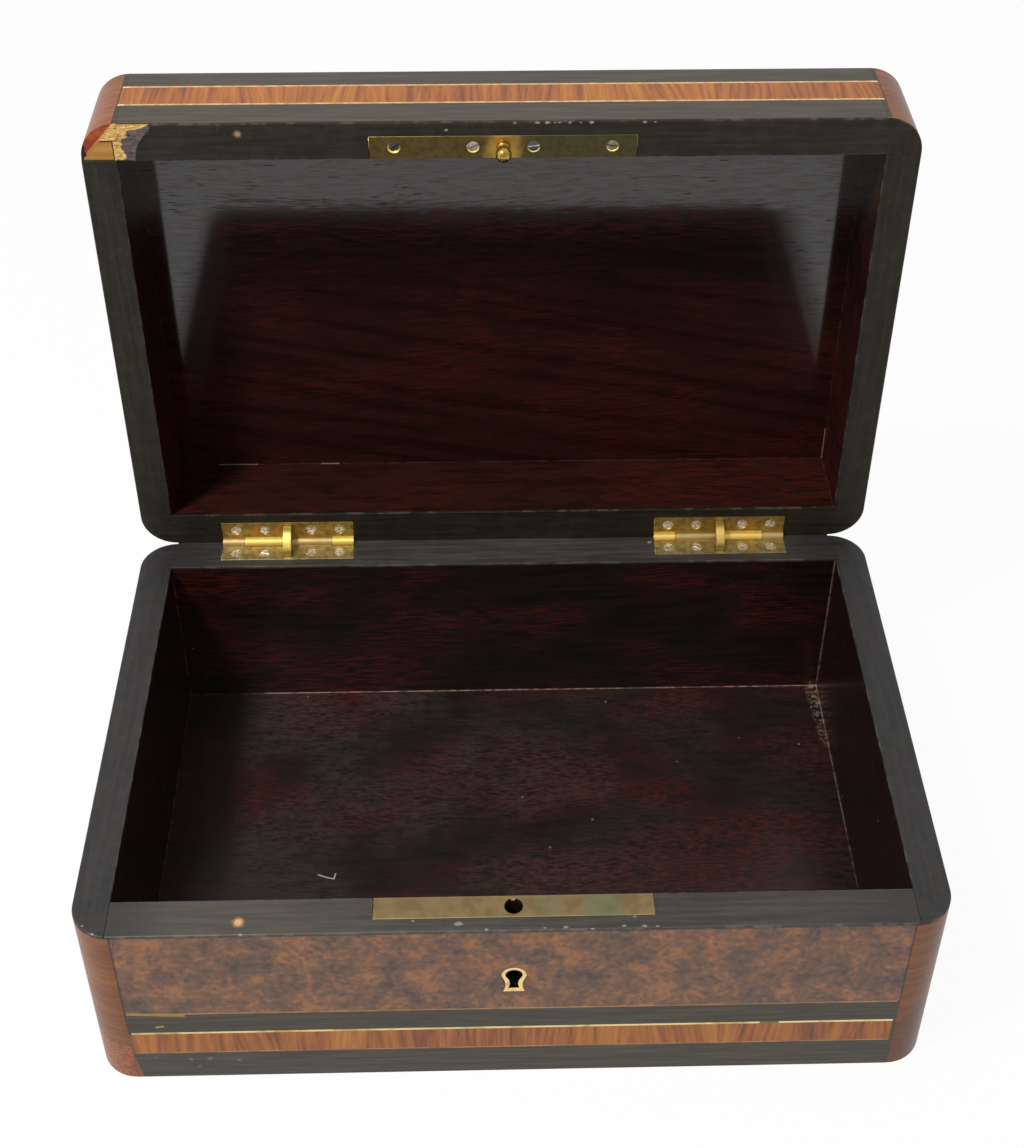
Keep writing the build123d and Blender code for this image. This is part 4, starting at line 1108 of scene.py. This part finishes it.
def skin_of(name, grids, body, material, crease=35):
    """One closed piece from grids of places in millimetres."""
    starts = np.cumsum([0] + [grid.shape[0] * grid.shape[1] for grid in grids])
    faces = np.concatenate([grid_faces(*grid.shape[:2], start) for grid, start in zip(grids, starts)])
    places = np.concatenate([grid.reshape(-1, 3) for grid in grids]) * MM
    mesh = bpy.data.meshes.new(name)
    mesh.from_pydata(places.tolist(), [], faces.tolist())
    raw = bmesh.new()
    raw.from_mesh(mesh)
    bmesh.ops.remove_doubles(raw, verts=raw.verts, dist=0.002 * MM)
    bmesh.ops.recalc_face_normals(raw, faces=raw.faces)
    raw.to_mesh(mesh)
    raw.free()
    mesh.shade_smooth()
    mesh.set_sharp_from_angle(angle=radians(crease))
    piece = placed(name, mesh)
    put_finish(piece, material)
    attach(piece, body)
    print(name, "has", len(mesh.polygons), "faces")
    return piece


# %% [markdown]
# The escutcheon is a thin brass frame let into the burr round the keyhole. A keyhole's outline is an arc
# over two hollow flanks, so two such outlines with the same number of points, one inside the other, give
# the frame: rows of the grid blend from the one to the other, and bulge a little in between.


# %% The escutcheon
KEY_PLACE = (0.0, 51.6)  # across and up, the centre of the keyhole's round part
KEYHOLE = dict(head=2.6, waist=1.25, foot=2.0, head_drop=1.5, foot_drop=6.9)
FRAME_OUTSIDE = dict(head=4.05, waist=2.9, foot=3.7, head_drop=2.2, foot_drop=8.6)
FRAME_DEPTH = 1.6
FRAME_BULGE = 0.35


def keyhole(head, waist, foot, head_drop, foot_drop):
    """Half widths and drops to an outline in x and z: an arc of radius head that ends head_drop below the
    centre, flanks whose half width is a parabola through the arc's end, the waist and the foot, and a
    straight sole foot_drop below the centre."""
    turn = np.arcsin(head_drop / head)
    arc = np.linspace(-turn, pi + turn, 41)
    drop = np.linspace(head_drop, foot_drop, 21)[1:]
    drops = [head_drop, (head_drop + foot_drop) / 2, foot_drop]
    bend = np.polyfit(drops, [head * np.cos(turn), waist, foot], 2)
    half = np.polyval(bend, drop)
    sole = np.linspace(-foot, foot, 9)[1:-1]
    across = np.concatenate([head * np.cos(arc), -half, sole, half[::-1]])
    up = np.concatenate([head * np.sin(arc), -drop, np.full(7, -foot_drop), -drop[::-1]])
    return np.stack([across, up], -1)


def frame_section(steps=9):
    """The frame cut across: how far from the inner to the outer outline, and how far behind the front.
    The front is half an ellipse on its side, and the back is square."""
    angle = np.linspace(0, pi, steps)
    share = np.concatenate([(1 - np.cos(angle)) / 2, [1.0, 0.0, 0.0]])
    depth = np.concatenate([FRAME_BULGE * (1 - np.sin(angle)), [FRAME_DEPTH, FRAME_DEPTH, FRAME_BULGE]])
    return share, depth


inside, outside = keyhole(**KEYHOLE), keyhole(**FRAME_OUTSIDE)
share, depth = frame_section()
frame_plan = inside + (outside - inside) * share[:, None, None]
frame_grid = np.stack(
    [
        KEY_PLACE[0] + frame_plan[..., 0],
        np.broadcast_to(depth[:, None] - HALF_DEPTH, frame_plan.shape[:2]),
        KEY_PLACE[1] + frame_plan[..., 1],
    ],
    -1,
)
frame_grid = np.concatenate([frame_grid, frame_grid[:, :1]], 1)
escutcheon = skin_of("escutcheon_frame", [frame_grid], "case", finishes["frame_brass"])
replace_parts(escutcheon, "keyhole_escutcheon")

# %% [markdown]
# The stud is turned on a lathe, and so is its mesh: one profile, carried round in a circle.


# %% The stud
def turned(radii, heights, columns=48):
    """A profile carried round the upright axis."""
    angle = np.linspace(0, 2 * pi, columns + 1)
    radii = np.asarray(radii)[:, None]
    heights = np.broadcast_to(np.asarray(heights)[:, None], (len(radii), columns + 1))
    return np.stack([radii * np.cos(angle), radii * np.sin(angle), heights], -1)


def stud_profile():
    """Radii and heights off the plate: tenon, collar, hollow neck, and a head that ends in a half ball."""
    ball = np.linspace(0, pi / 2, 13)
    below = [(0, -1.4), (1.7, -1.4), (1.7, 0), (2.1, 0), (2.28, 0.25), (2.3, 0.6), (2.28, 1.1), (2.1, 1.4)]
    neck = [(1.8, 1.7), (1.68, 2.1), (1.66, 2.7), (1.7, 3.2), (1.85, 3.45), (2.3, 3.6), (2.5, 3.85)]
    radii, heights = np.array([*below, *neck, (2.58, 4.3)]).T
    return np.append(radii, 2.6 * np.cos(ball)), np.append(heights, 4.8 + 2.6 * np.sin(ball))


radii, heights = stud_profile()
stud_grid = turned(radii, heights) * (1, 1, -1) + (0, PLATE_Y, LID_FACE)
stud = skin_of("turned_stud", [open_lid(stud_grid)], "lid", finishes["stud_brass"], crease=50)
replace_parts(stud, "catch_stud")

# %% [markdown]
# A hand-made screw has a low domed head with a slot filed across it. The head is a disc on a grid, with
# rows along the slot, and two rows at each of its lips, one high and one low, make its upright walls. The
# low rows end on the cone of the countersink, so the slot is open at both ends, and from the border of
# the disc a skirt drops along the cone to the shank.

# %% Screws
CONE_TOP, CONE_SLOPE, CONE_FOOT = 2.1, 1.1 / 1.5, 1.5
SHANK_RADIUS = 1.0
SCREW_LENGTH = 9.0
SLOT_HALF, SLOT_DEPTH, DOME = 0.3, 0.42, 0.16


def cone_radius(height):
    """The radius of the countersink at a height, which is negative below the plate's face."""
    return CONE_TOP + CONE_SLOPE * height


def screw(turn, sunk, slot_depth=SLOT_DEPTH):
    """A slotted screw, head up with the plate's face at height 0. The head is a cap of height DOME, its
    border sunk below the face; turn is the angle of the slot in degrees."""
    rim_radius, floor = cone_radius(-sunk), -sunk - slot_depth
    bow = np.cos(np.linspace(0, pi / 2, 9))[::-1]
    cheek = np.append(SLOT_HALF, SLOT_HALF + (rim_radius - SLOT_HALF) * np.sin(np.linspace(0, pi / 2, 9))[1:])
    across = np.concatenate([-cheek[::-1], np.linspace(-SLOT_HALF, SLOT_HALF, 4), cheek])
    low = np.zeros(len(across), bool)
    low[len(cheek) : len(cheek) + 4] = True
    radius = np.where(low, cone_radius(floor), rim_radius)
    half = np.sqrt(np.maximum(radius**2 - across**2, 0))
    along = half[:, None] * np.concatenate([-bow[:0:-1], bow])
    wide = np.broadcast_to(across[:, None], along.shape)
    domed = -sunk + DOME * (1 - (along**2 + wide**2) / rim_radius**2)
    head = np.stack([along, wide, np.where(low[:, None], floor, domed)], -1)
    border = np.concatenate([head[:, -1], head[::-1, 0], head[:1, -1]])
    aim = border[:, :2] / np.linalg.norm(border[:, :2], axis=1, keepdims=True)
    levels = [(SHANK_RADIUS, -CONE_FOOT), (SHANK_RADIUS, 1 - SCREW_LENGTH), (0.0, -SCREW_LENGTH)]
    rings = [np.column_stack([aim * reach, np.full(len(aim), level)]) for reach, level in levels]
    cos, sin = np.cos(radians(turn)), np.sin(radians(turn))
    spin = np.array([[cos, sin, 0], [-sin, cos, 0], [0, 0, 1]])
    return [head @ spin, np.stack([border, *rings]) @ spin]


def on_case(grids, x, y):
    return [grid + (x, y, RIM_TOP) for grid in grids]


def on_lid(grids, x, y):
    """The screws in the lid's face look down when it is shut."""
    return [open_lid(grid * (1, 1, -1) + (x, y, LID_FACE)) for grid in grids]


HINGE_X = abs(frame["joints"][1]["pos_m"][0]) / MM
LEAF_SCREWS, LEAF_SCREW_Y = (-19.3, -8.7, 8.7, 19.3), HINGE.y - 5.9
LEAF_PLACES = [side * (HINGE_X + x) for side in (-1, 1) for x in LEAF_SCREWS]
CASE_TURNS = (30, 62, -15, 80, 10, -40, 25, 70)
LID_TURNS = (-35, -20, 8, 55, 85, 40, -12, -60)
CATCH_PLACES, CATCH_TURNS, CATCH_SUNK = (-35.0, -9.7, 9.7, 35.0), (-35, -22, -8, 10), (0.62, 0.42, 0.36, 0.42)
CATCH_SLOTS = (SLOT_DEPTH, SLOT_DEPTH, 0.08, SLOT_DEPTH)  # the third is caked with old polish

case_screws = [on_case(screw(turn, 0.27), x, LEAF_SCREW_Y) for x, turn in zip(LEAF_PLACES, CASE_TURNS)]
lid_screws = [on_lid(screw(turn, 0.27), x, LEAF_SCREW_Y) for x, turn in zip(LEAF_PLACES, LID_TURNS)]
catch_screws = [
    on_lid(screw(*settings), x, PLATE_Y)
    for x, *settings in zip(CATCH_PLACES, CATCH_TURNS, CATCH_SUNK, CATCH_SLOTS)
]
for name, screws, body, metal in (
    ("case_hinge_screws", case_screws, "case", "steel"),
    ("lid_hinge_screws", lid_screws, "lid", "steel"),
    ("catch_screws", catch_screws, "lid", "catch_steel"),
):
    grids = [grid for screw_grids in screws for grid in screw_grids]
    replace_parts(skin_of(name + "_slotted", grids, body, finishes[metal]), name)

# %% [markdown]
# ## The torn corner
#
# At the front left corner of the lid the black rim has broken away and taken wood with it. What is left
# is a bed of pale splinters over the front board and, next to the break, a skin of old glue and dyed
# wood. Both are crusts: a grid of heights between two ragged borders, with a skirt down into the board.


# %% Splinters and old glue
def wavy(rows, columns, seed, knots):
    """Smooth random heights from 0 to 1: a small random grid drawn out over a larger one."""
    small = np.random.default_rng(seed).random(knots)
    at_row, at_column = np.linspace(0, knots[0] - 1, rows), np.linspace(0, knots[1] - 1, columns)
    tall = np.stack([np.interp(at_row, np.arange(knots[0]), column) for column in small.T], 1)
    return np.stack([np.interp(at_column, np.arange(knots[1]), row) for row in tall])


def crust(left, right, y, height):
    """A closed crust on the shut lid's torn face. Each row runs from left to right at one depth y, and
    height says how far it stands off the face, which looks down."""
    share = np.linspace(0, 1, height.shape[1])
    x = left[:, None] + (right - left)[:, None] * share
    places = np.stack([x, np.broadcast_to(y[:, None], x.shape), TORN_FACE - height], -1)
    top = np.pad(places, ((1, 1), (1, 1), (0, 0)), mode="edge")
    foot = TORN_FACE + 0.1
    top[[0, -1], :, 2] = foot
    top[:, [0, -1], 2] = foot
    under = top * (1, 1, 0) + (0, 0, foot)
    return [open_lid(top), open_lid(under)]


SPLINTER_EDGE = [
    (-88.4, -111.8), (-87.2, -113.7), (-86.6, -115.7), (-86.0, -118.9), (-85.0, -119.4), (-83.4, -118.9),
    (-83.1, -120.9), (-81.2, -121.1), (-79.9, -121.6), (-78.0, -120.5), (-76.3, -120.4), (-75.5, -121.4),
]
BREAK_EDGE = [
    (-89.0, -111.5), (-86.2, -112.2), (-84.5, -114.1), (-82.0, -116.0), (-79.4, -117.1), (-75.0, -117.8),
]
BOARD_JOINT, JOINT_HALF = -82.3, 0.14  # the dirty joint between the two boards, and half its width
BOARD_END = -124.2
BLOCK_SLANT = 0.887  # how far left the block's back runs for each millimetre of depth
ROWS = 48


def edge_at(points, y):
    """How far across a ragged border is at each depth."""
    depths, across = np.array(points).T
    return np.interp(y, depths, across)


front_y = np.linspace(-88.15, BOARD_JOINT - JOINT_HALF, ROWS)
front_left = BLOCK_LEFT - BLOCK_SLANT * np.maximum(front_y - VENEER_BACK, 0.0)
front_height = 0.10 + 0.28 * wavy(ROWS, 40, 3, (22, 6)) + 0.20 * wavy(ROWS, 40, 4, (9, 9))
rear_y = np.linspace(BOARD_JOINT + JOINT_HALF, INNER_FRONT, ROWS)
rear_left = np.full(ROWS, BOARD_END)
rear_height = 0.14 + 0.30 * wavy(ROWS, 20, 5, (18, 4)) + 0.20 * wavy(ROWS, 20, 6, (8, 4))
ragged = 0.35 * (wavy(ROWS, 2, 7, (30, 2))[:, 0] - 0.5)
splinters = crust(front_left, edge_at(SPLINTER_EDGE, front_y) + ragged, front_y, front_height)
splinters += crust(rear_left, edge_at(SPLINTER_EDGE, rear_y) + ragged, rear_y, rear_height)
skin_of("torn_splinters", splinters, "lid", finishes["torn_wood"])

glue_y = np.linspace(-87.6, INNER_FRONT, 56)
glue_rise = np.linspace(0.42, 0.97, 24) + 0.16 * (wavy(56, 24, 8, (16, 8)) - 0.6)
glue_left, glue_right = edge_at(SPLINTER_EDGE, glue_y) - 0.35, edge_at(BREAK_EDGE, glue_y) + 0.05
glue = crust(glue_left, glue_right, glue_y, np.minimum(glue_rise, 0.99))
skin_of("torn_glue", glue, "lid", finishes["old_glue"])

# %% [markdown]
# ## Floor, light and camera
#
# The box stands on a white board. The floor gives off the white that the eye, the polish and the brass
# see, and keeps a little of the real shading so that the box still has a shadow to stand on. One large
# soft lamp hangs high on the left, and a pale world fills the rest.

# %% The white board and the world
SOFT_SHARE = 0.95  # how much of the floor's white is given off rather than lit
BOARD_WHITE = 0.9
BOARD_HALF = 3.0  # metres, far past everything that the camera sees
FILL_STRENGTH = 0.35


def seen_directly(tree):
    """1 for the rays that see a surface directly, in polish or through glass, 0 for the rays that light."""
    path = tree.nodes.new("ShaderNodeLightPath")
    camera, glossy, clear = (
        Wire(tree, path.outputs[name]) for name in ("Is Camera Ray", "Is Glossy Ray", "Is Transmission Ray")
    )
    return larger(camera, larger(glossy, clear))


def show(tree, share, lit, seen, output):
    """Mixes one shader for the rays that light with another for the rays that see, and puts it out."""
    sockets = {0: share, 1: Wire(tree, lit.outputs[0]), 2: Wire(tree, seen.outputs[0])}
    tree.links.new(share.node("MixShader", {}, sockets).socket, tree.nodes[output].inputs["Surface"])


def white_board(size):
    """A flat floor whose white is mostly given off."""
    mesh = bpy.data.meshes.new("floor")
    corners = [(-size, -size, 0), (size, -size, 0), (size, size, 0), (-size, size, 0)]
    mesh.from_pydata(corners, [], [(0, 1, 2, 3)])
    floor = placed("floor", mesh)
    material = bpy.data.materials.new("white_board")
    material.use_nodes = True
    tree = material.node_tree
    shader = tree.nodes["Principled BSDF"]
    shader.inputs["Base Color"].default_value = (BOARD_WHITE, BOARD_WHITE, BOARD_WHITE, 1)
    shader.inputs["Roughness"].default_value = 0.9
    glow = tree.nodes.new("ShaderNodeEmission")
    show(tree, seen_directly(tree) * SOFT_SHARE, shader, glow, "Material Output")
    mesh.materials.append(material)


white_board(BOARD_HALF)

world = bpy.data.worlds.new("studio")
bpy.context.scene.world = world
world.use_nodes = True
fill_light = world.node_tree.nodes["Background"]
fill_light.inputs["Color"].default_value = (1, 1, 1, 1)
fill_light.inputs["Strength"].default_value = FILL_STRENGTH
white = world.node_tree.nodes.new("ShaderNodeBackground")
white.inputs["Color"].default_value = (1, 1, 1, 1)
show(world.node_tree, seen_directly(world.node_tree), fill_light, white, "World Output")
print("the floor gives off", SOFT_SHARE, "of its white")


# %% The lamp
def aim(thing, target):
    """Turns a lamp to look at a point."""
    direction = Vector(target) - thing.location
    thing.rotation_euler = direction.to_track_quat("-Z", "Y").to_euler()


lamp_data = bpy.data.lights.new("window", "AREA")
lamp_data.shape = "DISK"
lamp_data.size = 0.22
lamp_data.energy = 16.3
lamp = placed("window", lamp_data)
lamp.location = (-0.60, -0.42, 1.35)
aim(lamp, (0, 0, 0.1))

# %% The camera
camera_data = bpy.data.cameras.new("camera")
camera_data.sensor_width = 36.0
camera_data.lens = 57.07
camera_data.shift_x = -0.004907
camera_data.shift_y = -0.11355
camera_data.clip_start = 0.01
camera = placed("camera", camera_data)
camera.location = (-0.008538, -0.424202, 0.533345)
camera.rotation_euler = (radians(51.1777), radians(-0.2060), radians(-1.3468))
bpy.context.scene.camera = camera
bpy.context.scene.view_settings.view_transform = "Standard"
